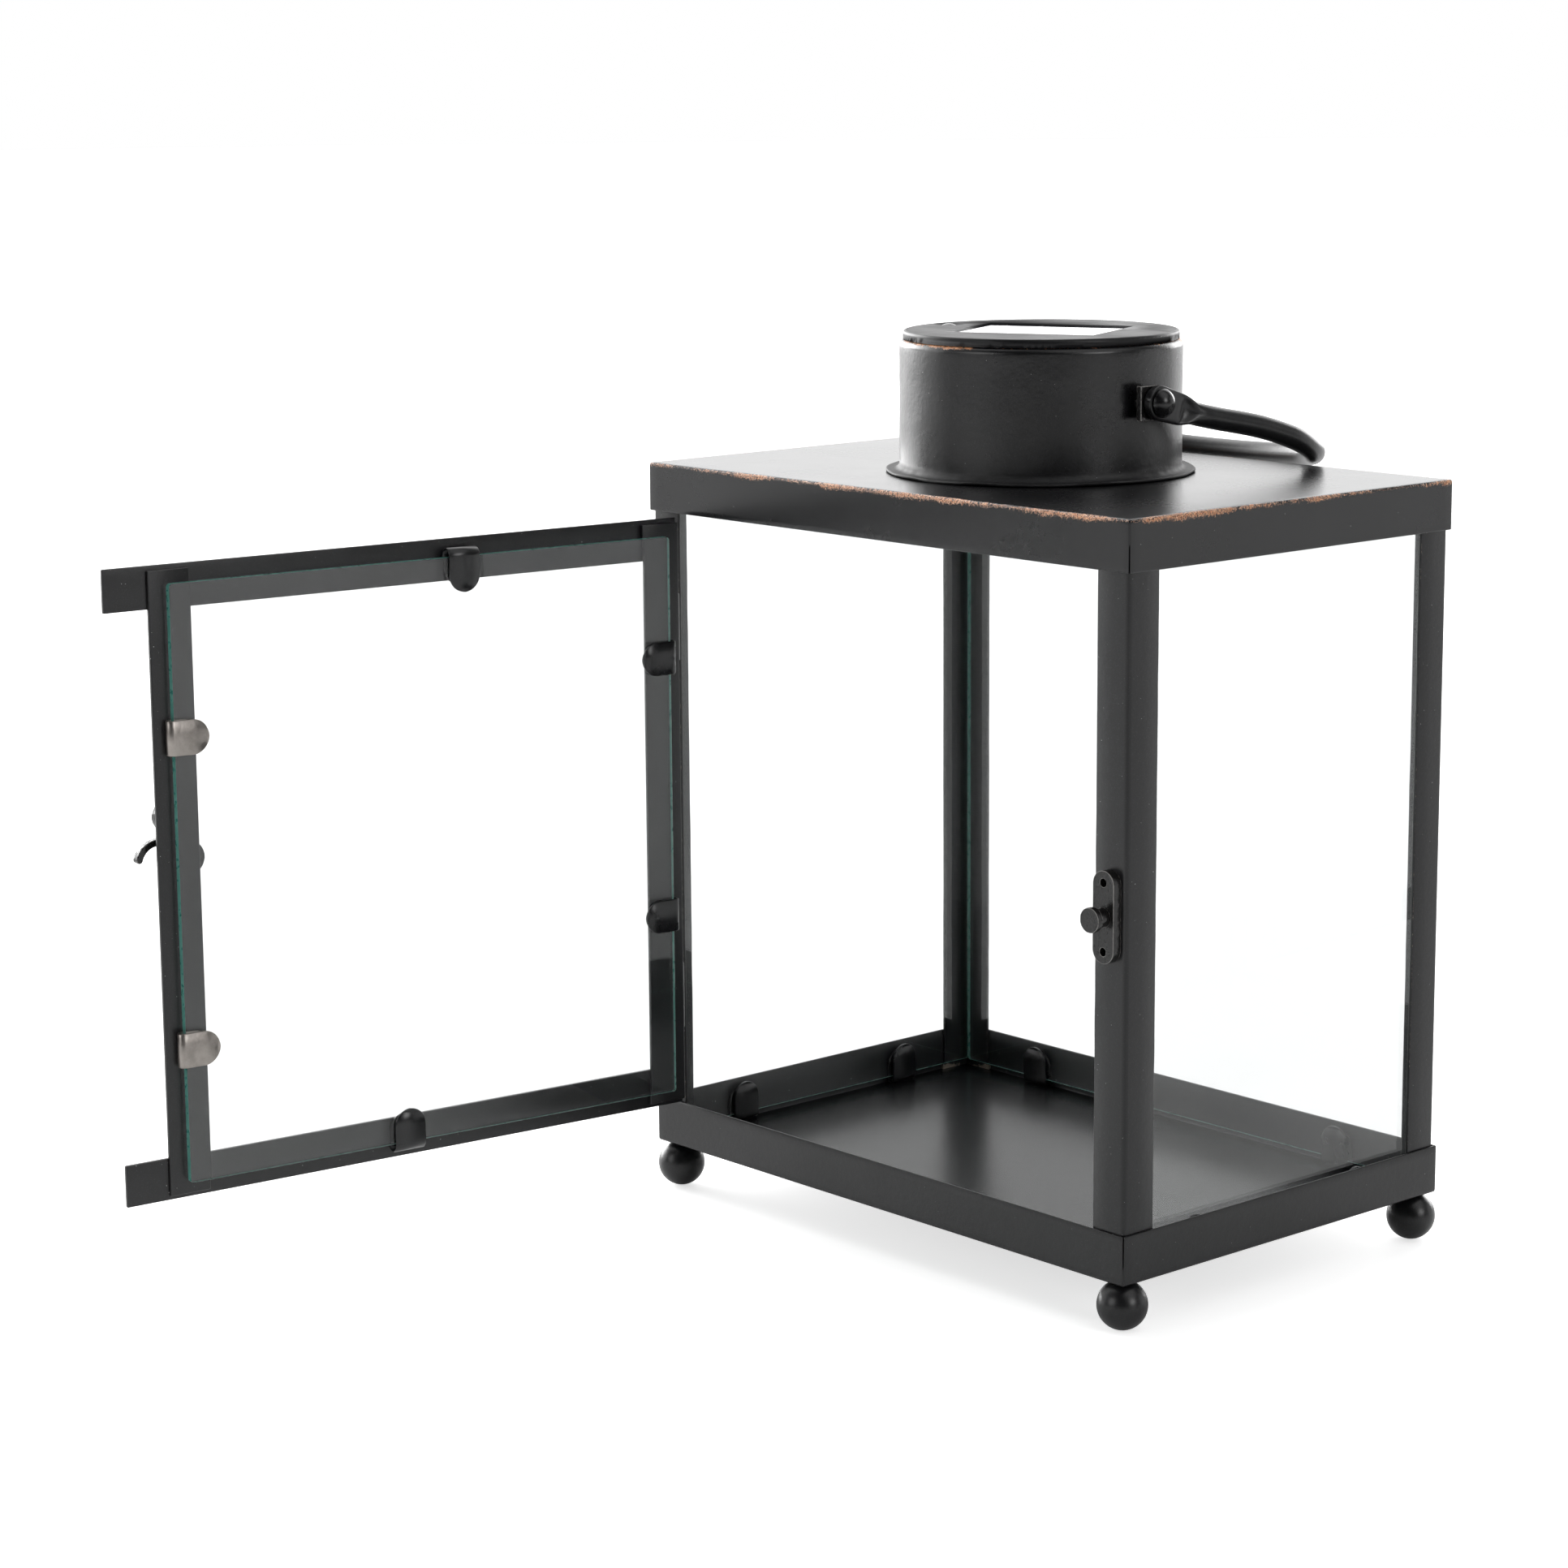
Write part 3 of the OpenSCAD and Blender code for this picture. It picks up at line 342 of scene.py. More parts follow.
def paint(name, base=(0.0048, 0.0048, 0.0055), mottle=0.6, rough=0.3, rough_range=0.03, peel=0.22, peel_size=1.2,
          rub=None, dull=None, proud=None, proud_wear_and_highlight_color=(0.2, 0.19, 0.18, 1), specks=0.0, lumps=0.0):
    """Semi-gloss black paint: mottled colour, orange peel, and wear where rub says so; where proud says so, lighter
    edges that are worn paint and, on the cast pieces, also a painted highlight.
    """
    g = Graph(name)
    big = g.noise(22, 5, 0.6)
    fine = g.noise(900 / peel_size, 3, 0.55)
    dark = tuple(c * (1 - 0.45 * mottle) for c in base) + (1,)
    light = tuple(c * (1 + 0.8 * mottle) for c in base) + (1,)
    color = g.mix(g.step(big, 0.3, 0.7), dark, light)
    grain = g.noise(2600, 2, 0.6)
    color = g.mix(g.step(grain, 0.56, 0.74, (0.0, 0.75)), color, tuple(c * 5 for c in base) + (1,))
    roughness = g.step(g.noise(30, 6, 0.65), 0.2, 0.8, (rough - rough_range, rough + rough_range))
    wear = None
    if rub is not None:
        wear = rub(g)
    # lighter colour on edges that stand proud: worn paint, and with cast_black also a painted highlight along the rims
    if proud is not None:
        ragged = g.math("MULTIPLY_ADD", g.noise(700, 4, 0.7), 0.7, -0.35)
        edge = g.step(g.math("ADD", g.attribute("proud"), ragged), proud, proud + 0.12)
        color = g.mix(g.math("MULTIPLY", edge, 0.75), color, proud_wear_and_highlight_color)
    if specks:
        speck = g.step(g.noise(1300, 1, 0.4), 1 - specks, 1 - specks + 0.02)
        color = g.mix(speck, color, (0.3, 0.3, 0.3, 1))
    if wear is not None:
        tone = g.mix(g.step(g.noise(900, 4, 0.7), 0.4, 0.62), COPPER, COPPER_PALE)
        color = g.mix(wear, color, tone)
        roughness = g.math("MULTIPLY_ADD", wear, 0.12, roughness)
    if dull is not None:
        roughness = g.math("MULTIPLY_ADD", dull(g), 0.3, roughness)
    g.put(g.bsdf.inputs["Base Color"], color)
    g.put(g.bsdf.inputs["Roughness"], roughness)
    normal = g.bump(fine, peel, 0.00012)
    if lumps:
        normal = g.bump(g.noise(330, 3, 0.5), lumps, 0.0006, over=normal)
    if wear is not None:
        normal = g.bump(g.math("MULTIPLY", wear, -1.0), 0.5, 0.00008, over=normal)
    g.put(g.bsdf.inputs["Normal"], normal)
    g.bsdf.inputs["IOR"].default_value = 1.5
    return g.mat


def plastic(name, base, rough=0.25, rough_range=0.05, grain=0.12, grain_size=0.5, vary=0.25, ior=1.5):
    g = Graph(name)
    g.bsdf.inputs["IOR"].default_value = ior
    dark = tuple(c * (1 - vary) for c in base) + (1,)
    light = tuple(c * (1 + vary) for c in base) + (1,)
    g.put(g.bsdf.inputs["Base Color"], g.mix(g.step(g.noise(30, 3, 0.6), 0.3, 0.7), dark, light))
    roughness = g.step(g.noise(60, 4, 0.65), 0.3, 0.7, (rough - rough_range, rough + rough_range))
    g.put(g.bsdf.inputs["Roughness"], roughness)
    g.put(g.bsdf.inputs["Normal"], g.bump(g.noise(1000 / grain_size, 2, 0.5), grain, 0.00004))
    return g.mat


def metal(name, base, rough=0.35, rough_range=0.08, brushed=None, vary=0.2, pebble=0.15):
    g = Graph(name)
    g.bsdf.inputs["Metallic"].default_value = 1.0
    dark = tuple(c * (1 - vary) for c in base) + (1,)
    light = tuple(min(1, c * (1 + vary)) for c in base) + (1,)
    g.put(g.bsdf.inputs["Base Color"], g.mix(g.step(g.noise(160, 4, 0.65), 0.3, 0.7), dark, light))
    streak = g.noise(500, 3, 0.6, stretch=brushed or (1, 1, 1))
    g.put(g.bsdf.inputs["Roughness"], g.step(streak, 0.25, 0.75, (rough - rough_range, rough + rough_range)))
    g.put(g.bsdf.inputs["Normal"], g.bump(streak, pebble, 0.00005 if brushed else 0.0001))
    return g.mat


def dress(obj, material):
    """Gives a whole piece or CAD node one material."""
    obj.data.materials.clear()
    obj.data.materials.append(material)
    if not len(obj.material_slots):
        obj.data.materials.append(material)


# edge-distance rub: the roof's folded edge
roof_lo, roof_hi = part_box("roof_cap")
base_lo, base_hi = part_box("base_tray")


def rub_roof(g):
    x, y, z = g.xyz()
    down = g.math("SUBTRACT", roof_hi.z, z)
    in_x = g.math("SUBTRACT", roof_hi.x, g.math("ABSOLUTE", x))
    in_y = g.math("SUBTRACT", roof_hi.y, g.math("ABSOLUTE", y))
    away = g.math("ADD", down, g.math("MULTIPLY", g.math("MINIMUM", in_x, in_y), 1.9))
    long = g.step(g.noise(32, 4, 0.65), 0.34, 0.7, (0.0003, 0.0024))
    ragged = g.math("MULTIPLY_ADD", g.noise(1100, 7, 0.9), 0.0078, -0.0039)
    reach = g.math("ADD", long, ragged)
    fleck = g.step(g.noise(1700, 5, 0.85), 0.46, 0.5)
    near = g.step(away, g.math("SUBTRACT", reach, 0.0002), g.math("ADD", reach, 0.0001), (1.0, 0.0))
    core = g.step(away, 0.0004, 0.0008, (1.0, 0.0))
    edge = g.math("MULTIPLY", core, g.step(g.noise(500, 5, 0.8), 0.4, 0.45))
    return g.math("MAXIMUM", g.math("MULTIPLY", near, fleck), edge, clamp=True)


def rub_collar(g):
    z = g.xyz()[2]
    down = g.math("SUBTRACT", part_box("collar")[1].z, z)
    long = g.step(g.noise(24, 3, 0.6), 0.45, 0.78, (0.0, 0.0032))
    ragged = g.math("MULTIPLY_ADD", g.noise(480, 6, 0.85), 0.004, -0.002)
    reach = g.math("ADD", long, ragged)
    near = g.step(down, g.math("SUBTRACT", reach, 0.0004), reach, (1.0, 0.0))
    return g.math("MULTIPLY", near, g.step(g.noise(1200, 3, 0.7), 0.34, 0.5), clamp=True)


def dull_flange(g):
    """1 on the collar's flange and fillet, where the paint lies thin and matt."""
    z = g.xyz()[2]
    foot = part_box("collar")[0].z
    return g.step(z, foot + 0.0026, foot + 0.0044, (1.0, 0.0))


paint_body = paint("paint_body", rough=0.33, rough_range=0.05, peel=0.5, peel_size=1.7, specks=0.2)
paint_post = paint(
    "paint_post", rough=0.33, rough_range=0.05, peel=0.5, peel_size=1.7, specks=0.2,
    proud=0.45, proud_wear_and_highlight_color=(0.3, 0.25, 0.2, 1),
)
paint_roof = paint(
    "paint_roof", rub=rub_roof, rough=0.27, rough_range=0.01, peel=0.09, peel_size=1.2, mottle=0.3, specks=0.2
)
paint_collar = paint(
    "paint_collar", rub=rub_collar, dull=dull_flange, rough=0.3, rough_range=0.05, peel=0.6, peel_size=1.8, specks=0.2
)
paint_handle = paint("paint_handle", rough=0.33, peel=0.4, peel_size=1.6, specks=0.16)
paint_floor = paint(
    "paint_floor", rough=0.25, rough_range=0.01, peel=0.05, peel_size=0.8, mottle=0.2, specks=0.2
)
paint_clip = paint("paint_clip", rough=0.27, peel=0.2)
# its proud rims get a lighter colour: partly edge wear, partly a painted highlight
cast_black = paint(
    "cast_black", base=(0.0068, 0.0066, 0.0064), rough=0.2, rough_range=0.06, peel=0.8, peel_size=3.0,
    proud=0.34, proud_wear_and_highlight_color=(0.26, 0.25, 0.24, 1), lumps=0.55,
)
rivet_black = paint("rivet_black", rough=0.26, rough_range=0.04, peel=0.6, peel_size=2.6)
lacquer_clip = metal("lacquer_clip", (0.3, 0.275, 0.255), rough=0.38, vary=0.15, pebble=0.8)
lid_plastic = plastic("lid_plastic", (0.008, 0.008, 0.009), rough=0.5, grain=0.2, ior=1.28)
lid_gloss = plastic("lid_gloss", (0.008, 0.008, 0.009), rough=0.4, ior=1.33)
matt_plastic = plastic("matt_plastic", (0.02, 0.02, 0.021), rough=0.5, grain=0.3)
button_plastic = plastic("button_plastic", (0.03, 0.03, 0.031), rough=0.13, rough_range=0.03)
milky = plastic("milky_plastic", (0.8, 0.8, 0.77), rough=0.35, vary=0.03)
milky.node_tree.nodes["Principled BSDF"].inputs["Subsurface Weight"].default_value = 0.4
board_green = plastic("board_green", (0.02, 0.14, 0.05), rough=0.35)
sleeve = plastic("battery_sleeve", (0.07, 0.24, 0.12), rough=0.3)
steel = metal("steel", (0.55, 0.55, 0.54), brushed=(1, 1, 12))
epoxy = plastic("led_epoxy", (0.85, 0.8, 0.62), rough=0.12, vary=0.03)


def cell_material():
    g = Graph("solar_cell")
    turned = g.add("ShaderNodeMapping", Vector=g.at)
    turned.inputs["Rotation"].default_value = (0, 0, -LID_TURN)
    x, y, _ = g.add("ShaderNodeSeparateXYZ", Vector=turned.outputs["Vector"]).outputs

    def lines(v, pitch, width):
        f = g.math("PINGPONG", v, pitch / 2)
        return g.step(f, width / 2, width / 2 + 0.00008, (1.0, 0.0))

    fingers = lines(y, 0.0016, 0.00012)
    bars = lines(g.math("ADD", x, 0.0067), 0.0134, 0.0007)
    silicon = g.mix(g.step(g.noise(120, 3, 0.6), 0.35, 0.65), (0.008, 0.010, 0.028, 1), (0.014, 0.018, 0.045, 1))
    color = g.mix(g.math("MAXIMUM", g.math("MULTIPLY", fingers, 0.55), bars), silicon, (0.5, 0.5, 0.5, 1))
    g.put(g.bsdf.inputs["Base Color"], color)
    g.put(g.bsdf.inputs["Roughness"], g.step(g.noise(40, 3, 0.6), 0.3, 0.7, (0.04, 0.08)))
    g.bsdf.inputs["Coat Weight"].default_value = 1.0
    g.bsdf.inputs["Coat Roughness"].default_value = 0.03
    return g.mat


def glass_material(name, tint, rough=0.0):
    g = Graph(name)
    g.bsdf.inputs["Transmission Weight"].default_value = 1.0
    g.bsdf.inputs["IOR"].default_value = 1.45
    g.bsdf.inputs["Roughness"].default_value = rough
    shade = tuple(c * 0.985 for c in tint[:3]) + (1,)
    g.put(g.bsdf.inputs["Base Color"], g.mix(g.noise(9, 2, 0.5), tint, shade))
    clear = g.tree.nodes.new("ShaderNodeBsdfTransparent")
    clear.inputs["Color"].default_value = (0.93, 0.95, 0.94, 1)
    ray = g.tree.nodes.new("ShaderNodeLightPath")
    either = g.math("MAXIMUM", ray.outputs["Is Shadow Ray"], ray.outputs["Is Diffuse Ray"])
    both = g.tree.nodes.new("ShaderNodeMixShader")
    out = g.tree.nodes["Material Output"]
    g.put(both.inputs[0], either)
    g.put(both.inputs[1], g.bsdf.outputs[0])
    g.put(both.inputs[2], clear.outputs[0])
    g.put(out.inputs["Surface"], both.outputs[0])
    return g.mat


def edge_material():
    """Ground glass edge: a teal that light soaks into."""
    g = Graph("glass_edge")
    g.put(g.bsdf.inputs["Base Color"], g.mix(g.noise(300, 3, 0.6), (0.06, 0.23, 0.19, 1), (0.13, 0.40, 0.34, 1)))
    g.put(g.bsdf.inputs["Roughness"], g.step(g.noise(500, 3, 0.6), 0.3, 0.7, (0.25, 0.4)))
    g.bsdf.inputs["Transmission Weight"].default_value = 0.25
    return g.mat


LID_TURN = math.radians(25)
solar_face = cell_material()
glass_clear = glass_material("glass_clear", (0.94, 0.948, 0.948, 1))
glass_edge = edge_material()

# ---------------------------------------------------------------- folded sheets

BAND_CORNER = 0.9 * MM
SHEET = 1.0 * MM


def folded_ring(hx, hy, inset, z, corner=BAND_CORNER, seam=0.0, wave=0.0):
    ring = []
    for i, (x, y) in enumerate(rounded_rectangle(hx - inset, hy - inset, max(corner - inset, 0.06 * MM))):
        pull = seam * corner_index(i)
        if pull:
            x, y = x - pull * (1 if x > 0 else -1), y - pull * (1 if y > 0 else -1)
        w = wobble(x, y, z, 0.03, wave)
        along_x = abs(y) / hy > abs(x) / hx
        ring.append(Vector((x + (0 if along_x else w), y + (w if along_x else 0), z)))
    return ring


def circle_like(ring, r, z):
    out = []
    for p in ring:
        a = math.atan2(p.y, p.x)
        out.append(Vector((r * math.cos(a), r * math.sin(a), z)))
    return out


def make_roof():
    hx, hy, top, low = roof_hi.x, roof_hi.y, roof_hi.z, roof_lo.z
    bend = 1.0 * MM
    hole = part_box("light_housing")[1].x + 0.4 * MM
    rings = []

    def add(inset, z, seam=0.0, wave=0.14 * MM):
        rings.append(folded_ring(hx, hy, inset, z, seam=seam, wave=wave))

    for inset, z in ((0.62, 0.0), (0.38, 0.0), (0.12, 0.1), (0.0, 0.34)):
        add(inset * MM, low + z * MM, 0.35 * MM)
    for z, seam in ((2, 0.35), (5, 0.33), (8, 0.26), (10.5, 0.1), (13, 0), (15.4, 0)):
        add(0, low + z * MM, seam * MM)
    for x, z in arc(bend, top - bend, bend, 180, 90, 6):
        add(x, z, wave=0.08 * MM)
    add(3 * MM, top, wave=0)
    add(7 * MM, top, wave=0)
    rings.append(circle_like(rings[-1], hole + 5 * MM, top))
    rings.append(circle_like(rings[-1], hole, top))
    rings.append(circle_like(rings[-1], hole, top - SHEET))
    rings.append(circle_like(rings[-1], hole + 5 * MM, top - SHEET))
    add(7 * MM, top - SHEET, wave=0)
    for x, z in arc(SHEET + 0.8 * MM, top - SHEET - 0.8 * MM, 0.8 * MM, 90, 180, 3):
        add(x, z, wave=0)
    add(SHEET, low + 0.34 * MM, wave=0.14 * MM)
    add(SHEET - 0.12 * MM, low + 0.1 * MM)
    sheet = loft("roof_sheet", rings, closed=True, sharp=50)
    roof = new_object("roof_sheet", sheet, "body", "black_paint", "roof_cap")
    dress(roof, paint_roof)


def make_base():
    hx, hy, low, top = base_hi.x, base_hi.y, base_lo.z, base_hi.z
    bend = 1.1 * MM
    rings = []

    def add(inset, z, seam=0.0, wave=0.12 * MM):
        rings.append(folded_ring(hx, hy, inset, z, seam=seam, wave=wave))

    add(12 * MM, low, wave=0)
    add(3 * MM, low, wave=0)
    for x, z in arc(bend, low + bend, bend, 270, 180, 6):
        add(x, z, wave=0.06 * MM)
    for z, seam in ((3, 0), (5, 0.1), (7.5, 0.28), (11, 0.35), (14, 0.35)):
        add(0, low + z * MM, seam * MM)
    for inset, z in ((0.0, 0.34), (0.12, 0.1), (0.38, 0.0), (0.62, 0.0)):
        add(inset * MM, top - z * MM, 0.35 * MM)
    add(SHEET - 0.12 * MM, top - 0.1 * MM)
    add(SHEET, top - 0.34 * MM)
    add(SHEET, low + SHEET + 1.0 * MM, wave=0)
    for x, z in arc(SHEET + 0.8 * MM, low + SHEET + 0.8 * MM, 0.8 * MM, 180, 270, 3):
        add(x, z, wave=0)
    add(8 * MM, low + SHEET, wave=0)
    base = new_object("base_sheet", loft("base_sheet", rings, sharp=50), "body", "black_paint", "base_tray")
    base.data.materials.append(paint_body)
    base.data.materials.append(paint_floor)
    for p in base.data.polygons:
        c = p.center
        if p.normal.z > 0.9 and c.z < low + 1.6 * MM:
            p.material_index = 1


def make_posts():
    leg, t, bend = 14 * MM, 1.2 * MM, 1.8 * MM
    e, inner = 0.28 * MM, 0.7 * MM
    outline = [(leg - e, 0)] + [(leg * 0.5, 0)]
    outline += arc(bend, bend, bend, 270, 180, 6)
    outline += [(0, leg * 0.5), (0, leg - e), (e * 0.3, leg - e * 0.3), (e, leg)]
    outline += [(t - e, leg), (t - e * 0.3, leg - e * 0.3), (t, leg - e)]
    outline += arc(t + inner, t + inner, inner, 180, 270, 3)
    outline += [(leg - e, t), (leg - e * 0.3, t - e * 0.3), (leg, t - e), (leg, e), (leg - e * 0.3, e * 0.3)]
    for name, sx, sy in (
        ("post_front_left", -1, -1), ("post_front_right", 1, -1),
        ("post_back_left", -1, 1), ("post_back_right", 1, 1),
    ):
        lo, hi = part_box(name)
        ox, oy = (hi.x if sx > 0 else lo.x), (hi.y if sy > 0 else lo.y)
        rings = []
        steps = 70
        for k in range(steps + 1):
            z = lo.z + (hi.z - lo.z) * k / steps
            ring = []
            for x, y in outline:
                far = max(x, y) / leg
                cut_x = wobble(ox, z, 1, 0.012, 0.12 * MM) if x > 0.8 * leg else 0
                cut_y = wobble(oy, z, 5, 0.012, 0.12 * MM) if y > 0.8 * leg else 0
                bow = wobble(ox, oy, z, 0.06, 0.08 * MM) * far
                px = ox - sx * (x + cut_x + (bow if y > x else 0))
                py = oy - sy * (y + cut_y + (bow if x > y else 0))
                ring.append(Vector((px, py, z)))
            rings.append(ring)
        post = new_object(name + "_angle", loft(name + "_angle", rings, sharp=50), "body", "black_paint", name)
        dress(post, paint_post)
        mark_wear_and_highlight(post, 0)


make_roof()
make_base()
make_posts()

# ---------------------------------------------------------------- glass


def pane(name, cad, body, turn=None):
    """A pane with ground edges: faces clear, edges green. turn moves a closed door's pane to where it stands."""
    lo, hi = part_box(cad) if turn is None else turn[1]
    mid, half = (lo + hi) / 2, (hi - lo) / 2
    thin = min(range(3), key=lambda i: half[i])
    a, b = [i for i in range(3) if i != thin]
    c = 0.22 * MM
    rings = []
    deep = half[thin]
    for t, inset in (
        (-deep, c * 3), (-deep, c), (-deep + c * 0.6, 0.0), (deep - c * 0.6, 0.0), (deep, c), (deep, c * 3)
    ):
        ring = []
        for x, y in outline_rectangle(half[a] - inset, half[b] - inset, max(1.2 * MM - inset, 0.2 * MM)):
            p = Vector(mid)
            p[a] += x
            p[b] += y
            p[thin] += t
            ring.append(p)
        rings.append(ring)
    mesh = loft(name, rings, sharp=25)
    mesh.materials.append(glass_clear)
    mesh.materials.append(glass_edge)
    for p in mesh.polygons:
        if abs(p.normal[thin]) < 0.3:
            p.material_index = 1
    if turn is not None:
        mesh.transform(turn[0])
    return new_object(name, mesh, body, "clear_glass", cad)


def outline_rectangle(hx, hy, r):
    points = []
    for sx, sy, a in ((1, 1, 0), (-1, 1, 90), (-1, -1, 180), (1, -1, 270)):
        points += arc(sx * (hx - r), sy * (hy - r), r, a, a + 90, 3)
    return points


pane("glass_left", "pane_left", "body")
pane("glass_right", "pane_right", "body")
pane("glass_back", "pane_back", "body")

# the door stands open: what is made closed is turned about the hinge
hinge = Vector(joints["door_hinge"]["pos_m"])
open_angle = math.radians(joints["door_hinge"]["range_deg"][1])
door_turn = Matrix.Translation(hinge) @ Matrix.Rotation(-open_angle, 4, "Z") @ Matrix.Translation(-hinge)
door_back = door_turn.inverted()


def closed_box(cad):
    co = [door_back @ v.co for v in nodes[cad].data.vertices]
    return (Vector([min(c[i] for c in co) for i in range(3)]), Vector([max(c[i] for c in co) for i in range(3)]))


pane("glass_door", "door_glass", "door", turn=(door_turn, closed_box("door_glass")))

# ---------------------------------------------------------------- clips

CLIP_W, CLIP_T = 12 * MM, 1 * MM


def clip_mesh(name, gap, place, foot=10.2 * MM, tongue=12.5 * MM, seed=0.0):
    """A strip folded round the glass's edge, with two round lobes; foot on y = 0, fold below z = 0."""
    half = gap / 2 + CLIP_T / 2
    half_w = CLIP_W / 2
    stations = []
    for k in range(13):
        a = math.pi / 2 * k / 12
        stations.append((foot - half_w + half_w * math.cos(a), half_w * math.sin(a)))
    path = []
    for d, w in stations:
        path.append((CLIP_T / 2, d, 0.0, w))
    for k in range(1, 4):
        path.append((CLIP_T / 2, (foot - half_w) * (1 - k / 4), 0.0, half_w))
    for k in range(13):
        a = math.pi * k / 12
        path.append((CLIP_T / 2 + half - half * math.cos(a), -half * math.sin(a), a, half_w))
    for k in range(1, 4):
        path.append((CLIP_T / 2 + 2 * half, (tongue - half_w) * k / 4, math.pi, half_w))
    for d, w in reversed(stations):
        path.append((CLIP_T / 2 + 2 * half, d - foot + tongue, math.pi, w))
    rings = []
    t = CLIP_T / 2
    for y, z, a, w in path:
        n = Vector((0, math.cos(a), math.sin(a)))
        w = max(w, 0.25 * MM)
        c = min(0.3 * MM, w * 0.5)
        ring = []
        for px, pn in (
            (w - c, t), (w, t - c), (w, -t + c), (w - c, -t),
            (-w + c, -t), (-w, -t + c), (-w, t - c), (-w + c, t),
        ):
            p = Vector((px, y, z)) + n * pn * -1
            p.x += wobble(seed, z, 1, 0.006, 0.15 * MM)
            ring.append(p)
        rings.append(ring)
    mesh = loft(name, rings, sharp=60)
    mesh.transform(place)
    return mesh


def joined(name, meshes, body, slot, material, *replaced):
    bm = bmesh.new()
    for m in meshes:
        bm.from_mesh(m)
    mesh = bpy.data.meshes.new(name)
    bm.to_mesh(mesh)
    bm.free()
    smooth(mesh, 60)
    obj = new_object(name, mesh, body, slot, *replaced)
    dress(obj, material)
    mark_wear_and_highlight(obj, 1)
    return obj


def islands(cad, back_turn=None):
    """Boxes of a node's separate solids, in the closed door's frame if back_turn is given."""
    bm = bmesh.new()
    bm.from_mesh(nodes[cad].data)
    bmesh.ops.remove_doubles(bm, verts=bm.verts, dist=2e-6)
    left, found = set(bm.verts), []
    while left:
        stack, group = [left.pop()], []
        while stack:
            v = stack.pop()
            group.append(back_turn @ v.co if back_turn else v.co.copy())
            for e in v.link_edges:
                o = e.other_vert(v)
                if o in left:
                    left.remove(o)
                    stack.append(o)
        low = Vector([min(c[i] for c in group) for i in range(3)])
        found.append((low, Vector([max(c[i] for c in group) for i in range(3)])))
    bm.free()
    return found


def fixed_clips(cad, name, turn):
    """Clips of one fixed pane, made for a wall on y = 0 glazed to +y; turn is the wall's direction."""
    spin = Matrix.Rotation(turn, 4, "Z")
    meshes = []
    for i, (lo, hi) in enumerate(islands(cad, spin.inverted())):
        gap = hi.y - lo.y - 2 * CLIP_T
        low = lo.z < 0.15
        x = (lo.x + hi.x) / 2
        half = gap / 2 + CLIP_T
        z = lo.z + half if low else hi.z - half
        place = Matrix.Translation((x, lo.y, z))
        if not low:
            place = place @ Matrix.Rotation(math.pi, 4, "Y")
        meshes.append(clip_mesh(name, gap, spin @ place, seed=i * 7.3 + turn))
    joined(name, meshes, "body", "clip_paint", paint_clip, cad)


fixed_clips("pane_clips_right", "clips_right", math.radians(90))
fixed_clips("pane_clips_left", "clips_left", math.radians(-90))
fixed_clips("pane_clips_back", "clips_back", math.radians(180))


def door_clip_set():
    rail, stile = [], []
    for i, (lo, hi) in enumerate(islands("door_clips", door_back)):
        gap = hi.y - lo.y - 2 * CLIP_T
        half = gap / 2 + CLIP_T
        mid = (lo + hi) / 2
        door_lo, door_hi = closed_box("door_glass")
        centre = (door_lo + door_hi) / 2
        if abs((hi.x - lo.x) - CLIP_W) < 0.4 * MM:
            low = mid.z < centre.z
            place = Matrix.Translation((mid.x, lo.y, lo.z + half if low else hi.z - half))
            if not low:
                place = place @ Matrix.Rotation(math.pi, 4, "Y")
            rail.append(clip_mesh("c", gap, door_turn @ place, seed=i * 5.1))
        else:
            free = mid.x > centre.x
            place = Matrix.Translation((hi.x - half if free else lo.x + half, lo.y, mid.z))
            place = place @ Matrix.Rotation(math.radians(-90 if free else 90), 4, "Y")
            stile.append((free, clip_mesh("c", gap, door_turn @ place, seed=i * 3.7)))
    joined("door_clips_dark", rail + [m for free, m in stile if not free], "door", "clip_paint", paint_clip)
    joined("door_clips_brown", [m for free, m in stile if free], "door", "door_clip_metal", lacquer_clip, "door_clips")


door_clip_set()

# ---------------------------------------------------------------- collar

collar_lo, collar_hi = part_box("collar")
DRUM_R = 49.6 * MM  # outside of the drum's wall


